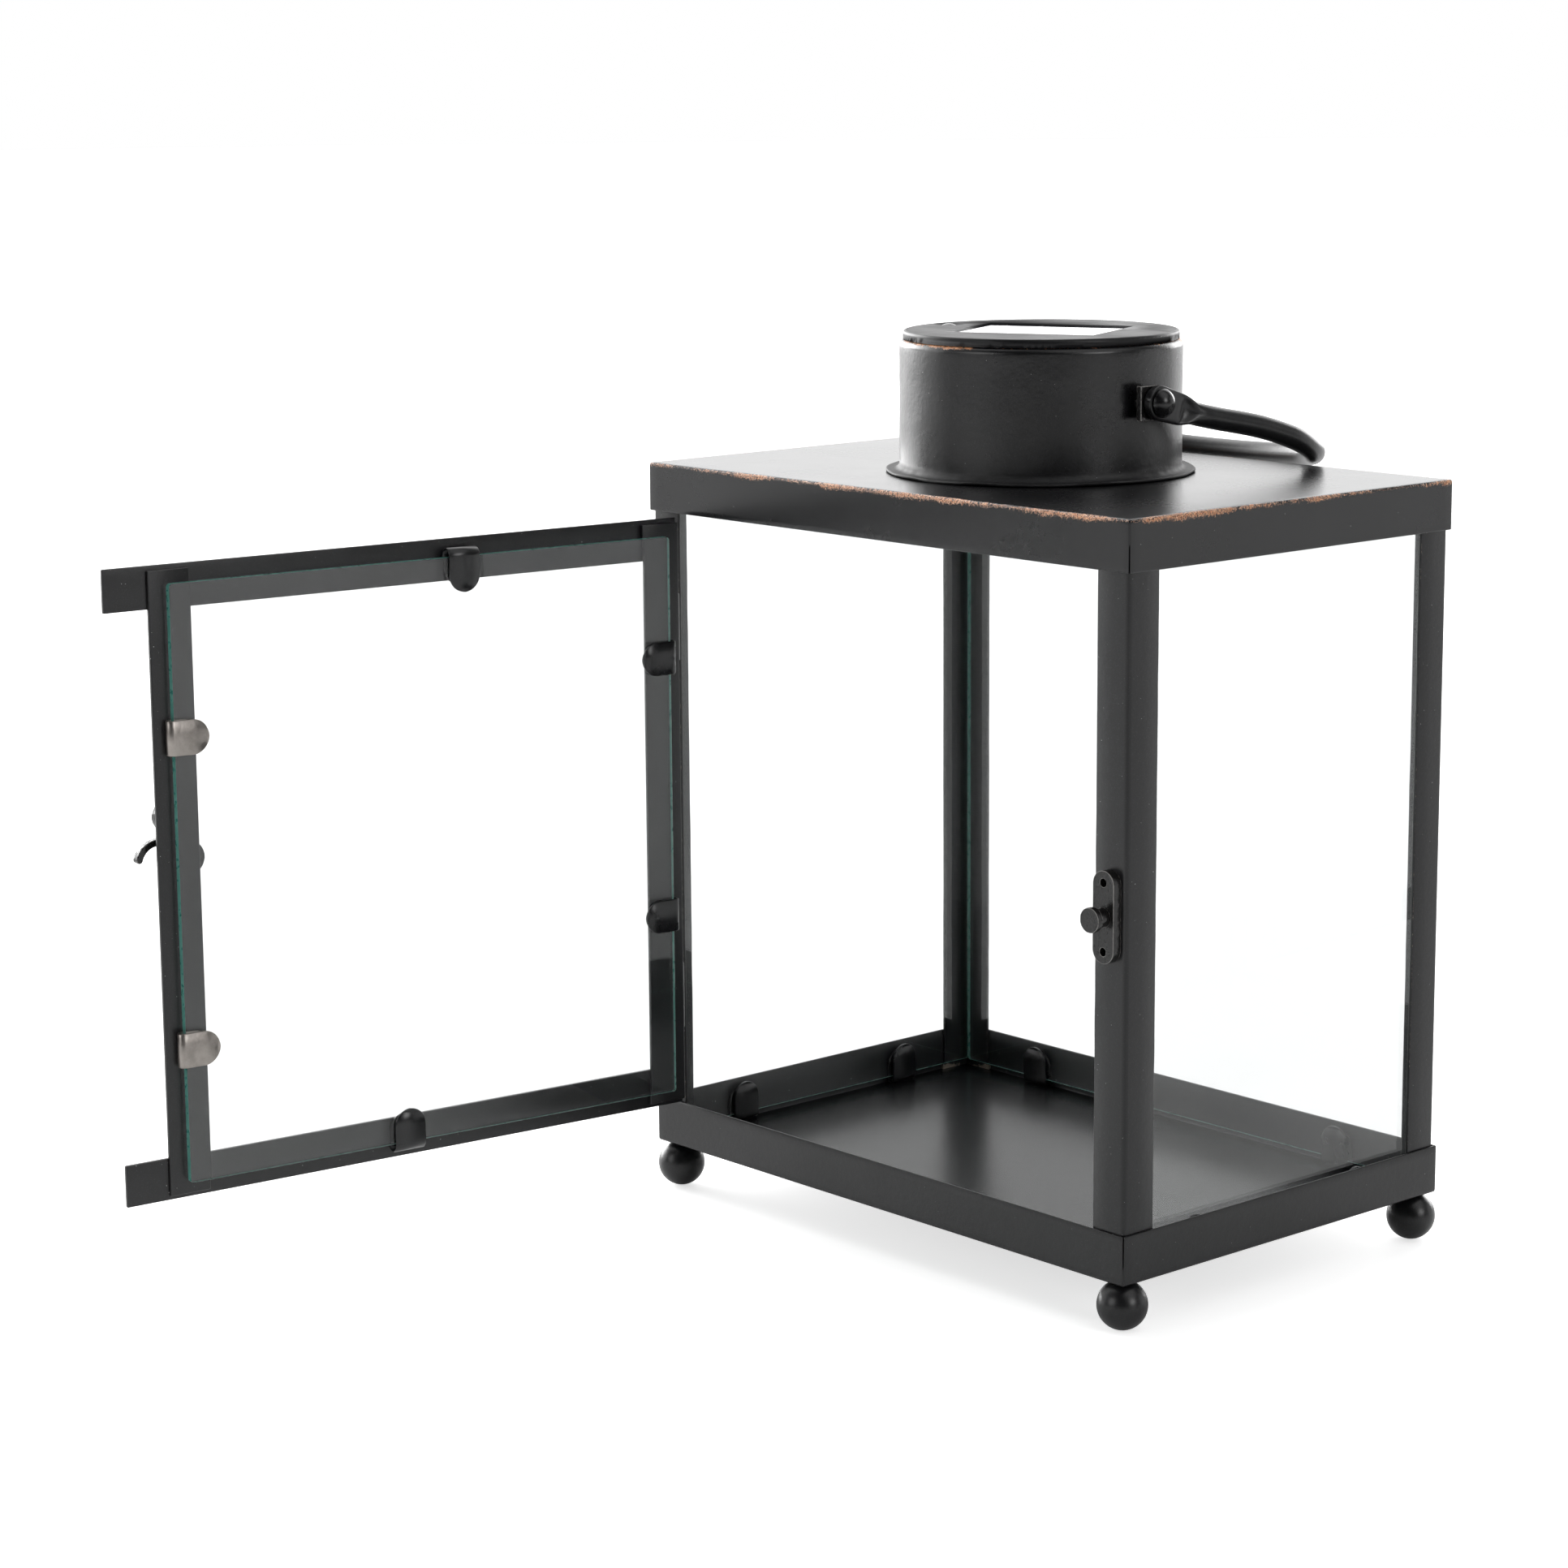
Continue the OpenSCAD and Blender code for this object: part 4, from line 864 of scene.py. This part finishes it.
def make_collar():
    z0, z1 = collar_lo.z, collar_hi.z
    r, t = DRUM_R, 1.2 * MM
    flange_r = collar_hi.x
    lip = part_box("light_housing")[1].x + 0.4 * MM
    profile = [
        (r - t, z0 + 0.02 * MM), (r + 2 * MM, z0 + 0.02 * MM),
        (flange_r - 0.3 * MM, z0 + 0.02 * MM), (flange_r, z0 + 0.3 * MM), (flange_r, z0 + 0.7 * MM),
        (flange_r - 0.3 * MM, z0 + 1 * MM), (flange_r - 1 * MM, z0 + 1.02 * MM),
    ]
    profile += [(r + 2.4 * MM - 2.4 * MM * math.sin(a), z0 + 1 * MM + 2.4 * MM * (1 - math.cos(a)))
                for a in (math.radians(d) for d in (10, 25, 40, 55, 70, 90))]
    steps = 26
    profile += [(r, z0 + 3.4 * MM + (z1 - 2.5 * MM - z0 - 3.4 * MM) * k / steps) for k in range(1, steps + 1)]
    profile += arc(r - 2.5 * MM, z1 - 2.5 * MM, 2.5 * MM, 8, 90, 9)
    profile += [(lip + 0.1 * MM, z1), (lip, z1 - 0.2 * MM), (lip, z1 - t + 0.2 * MM), (lip + 0.1 * MM, z1 - t)]
    profile += arc(r - 2.5 * MM, z1 - 2.5 * MM, 2.5 * MM - t, 90, 0, 4)[1:]

    def bend(rr, z, a):
        x, y = rr * math.cos(a), rr * math.sin(a)
        if rr > r + 0.4 * MM:  # thin wavy flange with a lumpy fillet
            out = (rr - r) / (flange_r - r)
            up_by = (0.28 * MM + wobble(x, y, 2, 0.02, 0.5 * MM)) * out * out
            rr += wobble(x, y, 0, 0.012, 0.7 * MM) * out * out + wobble(x, y, z, 0.0035, 0.35 * MM) * (1 - out)
            z += max(up_by, 0) if z > z0 + 0.1 * MM or out > 0.4 else 0
        elif rr > r - 0.4 * MM and z < z1 - 2 * MM:
            rr += wobble(x, y, z, 0.018, 0.16 * MM) + wobble(x, y, z, 0.006, 0.05 * MM)
            if z < z0 + 5 * MM:
                rr += wobble(x, y, z, 0.003, 0.3 * MM) * (1 - (z - z0) / (5 * MM))
        return min(rr, flange_r + 0.3 * MM), z

    drum = loft("collar_drum", lathe_rings(profile, 320, bend), closed=True, sharp=50)
    collar = new_object("collar_drum", drum, "body", "collar_paint", "collar")
    dress(collar, paint_collar)
    mark_wear_and_highlight(collar, 1)


make_collar()

# ---------------------------------------------------------------- handle

pivot = Vector(joints["handle_pivot"]["pos_m"])
handle_rest = math.radians((joints["handle_pivot"]["range_deg"][1] - 180) / 2)


def handle_path():
    """Half of the centreline in the bail's plane as (across, out, half thickness, half width, squareness)."""
    eye_t, eye_r = 3 * MM, 6 * MM
    eye_x = (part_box("handle_rivets")[1].x - 3.6 * MM) - 0.35 * MM - eye_t / 2
    flat, flat_l, neck, tube = 5.52 * MM, 9.42 * MM, 7.5 * MM, 4 * MM
    splay, arm, corner_r, turn = math.radians(7.5), 51.5 * MM, 29 * MM, math.radians(80)
    out = []
    for k in range(9):
        a = math.pi / 2 * k / 8
        out.append((eye_x, -eye_r * math.cos(a), eye_t / 2, max(eye_r * math.sin(a), 0.5 * MM), 6.0))
    for k in range(1, 6):
        out.append((eye_x, flat_l * k / 5, eye_t / 2, eye_r + (flat - eye_r) * k / 5, 6.0))
    for k in range(1, 13):
        f = k / 12
        s = f * f * (3 - 2 * f)
        d = neck * f
        out.append((eye_x + d * math.sin(splay), flat_l + d * math.cos(splay),
                    eye_t / 2 + (tube - eye_t / 2) * s, flat + (tube - flat) * s, 6 + (2 - 6) * s))
    for k in range(1, 15):
        d = neck + (arm - neck) * k / 14
        out.append((eye_x + d * math.sin(splay), flat_l + d * math.cos(splay), tube, tube, 2.0))
    cx, cv = eye_x + arm * math.sin(splay), flat_l + arm * math.cos(splay)
    mx, mv = cx - corner_r * math.cos(splay), cv + corner_r * math.sin(splay)
    for k in range(1, 17):
        a = -splay + turn * k / 16
        out.append((mx + corner_r * math.cos(a), mv + corner_r * math.sin(a), tube, tube, 2.0))
    last = turn - splay
    ex, ev = out[-1][0], out[-1][1]
    crown_r = ex / math.cos(last)
    crown_v = ev - crown_r * math.sin(last)
    for k in range(1, 15):
        a = last + (math.pi / 2 - last) * k / 14
        out.append((crown_r * math.cos(a), crown_v + crown_r * math.sin(a), tube, tube, 2.0))
    return out


EYE_HOLE_R = 2.08 * MM  # clears the rivet's shaft


def make_handle():
    half = handle_path()
    mirror = [(-u, v, a, b, p) for u, v, a, b, p in reversed(half[:-1])]
    path = half + mirror
    rings, n = [], 40
    for i, (u, v, a, b, p) in enumerate(path):
        lo, hi = path[max(i - 1, 0)], path[min(i + 1, len(path) - 1)]
        d = Vector((hi[0] - lo[0], hi[1] - lo[1]))
        if i < 15 or i >= len(path) - 15:
            d = Vector((0, 1 if i < 15 else -1))
        d.normalize()
        side = Vector((d.y, -d.x))  # in the bail's plane, across the path
        ring = []
        for k in range(n):
            t = 2 * math.pi * k / n
            c, s = math.cos(t), math.sin(t)
            e = 2 / p
            pu = a * math.copysign(abs(c) ** e, c)
            pw = b * math.copysign(abs(s) ** e, s)
            f = min(max((abs(v) - 9.4 * MM) / (9 * MM), 0), 1) if v > 0 else 0
            pinch = 1.5 * 4 * f * (1 - f) if (i < 40 or i >= len(path) - 40) else 0
            pu -= math.copysign(1.1 * MM * pinch * max(0, 1 - (abs(s) / 0.7)) * abs(c), c) * (1 if p < 6 else 0)
            dent = wobble(u + 4 * MM * c, v + 4 * MM * s, 0.2, 0.006, 0.06 * MM)
            rise = 2.1 * MM * math.sin(math.pi * min(max((v - 14 * MM) / (74 * MM), 0), 1)) ** 2
            q = Vector((u, v, rise)) + Vector((side.x, side.y, 0)) * (pu + dent) + Vector((0, 0, 1)) * (pw + dent)
            ring.append(q)
        rings.append(ring)
    mesh = loft("bail", rings, sharp=50)
    place = Matrix.Translation(pivot) @ Matrix.Rotation(-handle_rest, 4, "X")
    mesh.transform(place)
    handle = new_object("bail", mesh, "handle", "handle_paint", "bail_handle")
    for s in (-1, 1):
        hole = loft("hole", [
            [Vector((s * (50 * MM) + x, EYE_HOLE_R * math.cos(2 * math.pi * k / 48),
                     EYE_HOLE_R * math.sin(2 * math.pi * k / 48))) for k in range(48)]
            for x in (0, s * 14 * MM)
        ])
        hole.transform(Matrix.Translation(pivot))
        cut(handle, hole)
    smooth(handle.data, 45)
    dress(handle, paint_handle)


make_handle()


def make_rivets():
    """Hammered dome heads, each with a small flat struck into it."""
    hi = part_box("handle_rivets")[1]
    meshes = []
    head, high, shaft = 5 * MM, 3.6 * MM, 2 * MM
    ball = (head * head + high * high) / (2 * high)
    x_head = hi.x - high
    start = DRUM_R + 1.65 * MM
    for s in (1, -1):
        profile = [(0.01 * MM, start), (shaft, start), (shaft, x_head)]
        profile += [(head - 0.5 * MM, x_head), (head, x_head + 0.25 * MM)]
        for k in range(1, 12):
            a = math.asin(head / ball) * (1 - k / 12)
            drop = (1 - math.cos(a)) / (1 - math.cos(math.asin(head / ball)))
            profile.append((ball * math.sin(a), x_head + 0.2 * MM + (high - 0.2 * MM) * (1 - drop)))
        profile.append((0.01 * MM, hi.x))
        rings = lathe_rings(profile, 48)
        facet = Vector((0.35, 0.25, 1)).normalized()
        for ring in rings[4:]:
            for p in ring:
                q = Vector((p.x, p.y, p.z - x_head))
                over = q.dot(facet) - 3.35 * MM
                if over > 0:
                    p -= facet * over
        mesh = loft("rivet", rings, sharp=50)
        turn = Matrix.Translation((0, 0, pivot.z)) @ Matrix.Rotation(math.radians(90 * s), 4, "Y")
        mesh.transform(turn)
        meshes.append(mesh)
    joined("handle_rivet_pair", meshes, "body", "black_paint", rivet_black, "handle_rivets")


make_rivets()
for side in ("left", "right"):
    lug = copy_cad("lug_" + side, "handle_lug_" + side, "body", "black_paint", voxel=0.22 * MM, rounds=3)
    dress(lug, cast_black)
    mark_wear_and_highlight(lug, 3)

# ---------------------------------------------------------------- latch and catch

for name, cad, body in (
    ("catch_casting", ("catch_plate",), "body"),
    ("catch_stub", ("catch_pin",), "body"),
    ("latch_casting", ("latch_lever",), "latch"),
):
    piece = copy_cad(name, cad, body, "latch_metal", voxel=0.2 * MM, rounds=3)
    dress(piece, cast_black)
    mark_wear_and_highlight(piece, 3)
for name, cad in (("latch_boss_round", "latch_boss"), ("latch_rivet_dome", "latch_rivet")):
    piece = copy_cad(name, cad, "door", "latch_metal", bevel=0.15 * MM)
    dress(piece, rivet_black)

# ---------------------------------------------------------------- door frame and hinges

for cad in ("door_rail_top", "door_rail_bottom", "door_stile_hinge", "door_stile_latch"):
    piece = copy_cad(cad.replace("door_", "strip_"), cad, "door", "black_paint", bevel=0.3 * MM, segments=3)
    dress(piece, paint_body)
    mark_wear_and_highlight(piece, 0)
for cad in ("hinge_frame_leaf_upper", "hinge_frame_leaf_lower", "hinge_pins"):
    piece = copy_cad(cad + "_soft", cad, "body", "hinge_metal", bevel=0.15 * MM)
    dress(piece, paint_body)
for cad in ("hinge_door_leaf_upper", "hinge_door_leaf_lower"):
    piece = copy_cad(cad + "_soft", cad, "door", "hinge_metal", bevel=0.15 * MM)
    dress(piece, paint_body)

# ---------------------------------------------------------------- solar unit and feet

for cad, material in (
    ("light_housing", matt_plastic), ("battery_cover", matt_plastic),
    ("push_button", button_plastic), ("solar_cell", solar_face), ("button_switch", matt_plastic),
    ("circuit_board", board_green), ("battery", sleeve), ("battery_contacts", steel),
    ("led", epoxy), ("led_lens", milky), ("housing_screws", steel),
    ("foot_front_left", paint_handle), ("foot_front_right", paint_handle),
    ("foot_back_left", paint_handle), ("foot_back_right", paint_handle),
):
    dress(nodes[cad], material)



def make_lid():
    """The lid with its edge turned glossy by handling; the top is fine-grained."""
    lid = copy_cad("lid_moulding", "solar_lid", "solar_unit", "lid_plastic")
    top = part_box("solar_lid")[1].z
    mesh = lid.data
    smooth(mesh, 30)
    mesh.materials.append(lid_plastic)
    mesh.materials.append(lid_gloss)
    for p in mesh.polygons:
        r = math.hypot(p.center.x, p.center.y)
        p.material_index = 1 if r > 46.9 * MM or p.center.z < top - 1.5 * MM else 0


make_lid()

# ---------------------------------------------------------------- floor, world, lights

bm = bmesh.new()
bmesh.ops.create_circle(bm, cap_ends=True, radius=14, segments=128)
floor_mesh = bpy.data.meshes.new("floor")
bm.to_mesh(floor_mesh)
bm.free()
floor = bpy.data.objects.new("floor", floor_mesh)
scene.collection.objects.link(floor)
g = Graph("floor_painted_shade_and_glow")
fx, fy, _ = g.xyz()
far = g.math("SQRT", g.math("ADD", g.math("MULTIPLY", fx, fx), g.math("MULTIPLY", fy, fy)))
# painted shade: the floor is darker from x = 0.1 m out to about 2 m, so the object's faces turned that way reflect it
# darker
tone = g.mix(g.step(fx, 0.1, 0.45), (0.93, 0.93, 0.93, 1), (0.7, 0.7, 0.7, 1))
tone = g.mix(g.step(far, 1.2, 2.4), tone, (0.93, 0.93, 0.93, 1))
g.put(g.bsdf.inputs["Base Color"], tone)
g.put(g.bsdf.inputs["Roughness"], g.step(g.noise(6, 3, 0.6), 0.3, 0.7, (0.55, 0.65)))
# painted light: the floor glows, far more for camera rays, which lifts the object's cast shadow on it as the camera
# sees it
g.bsdf.inputs["Emission Color"].default_value = (1, 1, 1, 1)
ray = g.tree.nodes.new("ShaderNodeLightPath")
g.put(g.bsdf.inputs["Emission Strength"], g.math("MULTIPLY_ADD", ray.outputs["Is Camera Ray"], 0.6, 0.03))
floor_mesh.materials.append(g.mat)

world = bpy.data.worlds.new("studio")
scene.world = world
world.use_nodes = True
w = world.node_tree
coord = w.nodes.new("ShaderNodeTexCoord")


def facing(az, el):
    """How near a direction is to an azimuth (from -Y towards +X) and elevation: 1 is dead on."""
    n = w.nodes.new("ShaderNodeVectorMath")
    n.operation = "DOT_PRODUCT"
    w.links.new(coord.outputs["Generated"], n.inputs[0])
    a, e = math.radians(az), math.radians(el)
    n.inputs[1].default_value = (math.sin(a) * math.cos(e), -math.cos(a) * math.cos(e), math.sin(e))
    return n.outputs["Value"]


def world_add(a, b):
    n = w.nodes.new("ShaderNodeMath")
    n.operation = "ADD"
    w.links.new(a, n.inputs[0])
    w.links.new(b, n.inputs[1])
    return n.outputs[0]


def glow(az, el, spread, soft, level):
    """A soft round light: full within `spread` degrees of its middle, gone `soft` degrees further out."""
    n = w.nodes.new("ShaderNodeMapRange")
    n.interpolation_type = "SMOOTHSTEP"
    w.links.new(facing(az, el), n.inputs["Value"])
    n.inputs["From Min"].default_value = math.cos(math.radians(spread + soft))
    n.inputs["From Max"].default_value = math.cos(math.radians(spread))
    n.inputs["To Max"].default_value = level
    return n.outputs["Result"]


total = None
CAM = math.degrees(CAM_AZ)
for light in (
    (0, 90, 180, 0, 0.07),            # all round
    (CAM + 180, 10, 34, 26, 2.1),     # white wall behind the object
    (CAM - 142, 8, 16, 11, 9.0),      # strip behind on the left
    (CAM - 112, 14, 12, 12, 2.4),     # box on the left
    (CAM - 58, 22, 8, 12, 2.6),       # strip in front on the left
    (CAM + 46, 22, 6, 10, 5.0),       # strip in front on the right
    (CAM + 100, 10, 9, 13, 1.0),      # box on the right
    (CAM + 142, 8, 9, 10, 5.0),       # strip behind on the right
    (CAM + 60, 58, 14, 22, 1.0),      # overhead on the right
    (CAM - 140, 62, 14, 22, 1.2),     # overhead behind
):
    part = glow(*light)
    total = part if total is None else world_add(total, part)
lit = w.nodes["Background"]
lit.inputs["Color"].default_value = (1, 1, 1, 1)
w.links.new(total, lit.inputs["Strength"])
plain = w.nodes.new("ShaderNodeBackground")
plain.inputs["Color"].default_value = (1, 1, 1, 1)
seen = w.nodes.new("ShaderNodeLightPath")
seen_either = w.nodes.new("ShaderNodeMath")
seen_either.operation = "MAXIMUM"
w.links.new(seen.outputs["Is Camera Ray"], seen_either.inputs[0])
w.links.new(seen.outputs["Is Transmission Ray"], seen_either.inputs[1])
pick = w.nodes.new("ShaderNodeMixShader")
w.links.new(seen_either.outputs[0], pick.inputs[0])
w.links.new(lit.outputs[0], pick.inputs[1])
w.links.new(plain.outputs[0], pick.inputs[2])
w.links.new(pick.outputs[0], w.nodes["World Output"].inputs["Surface"])

scene.view_settings.view_transform = "Standard"
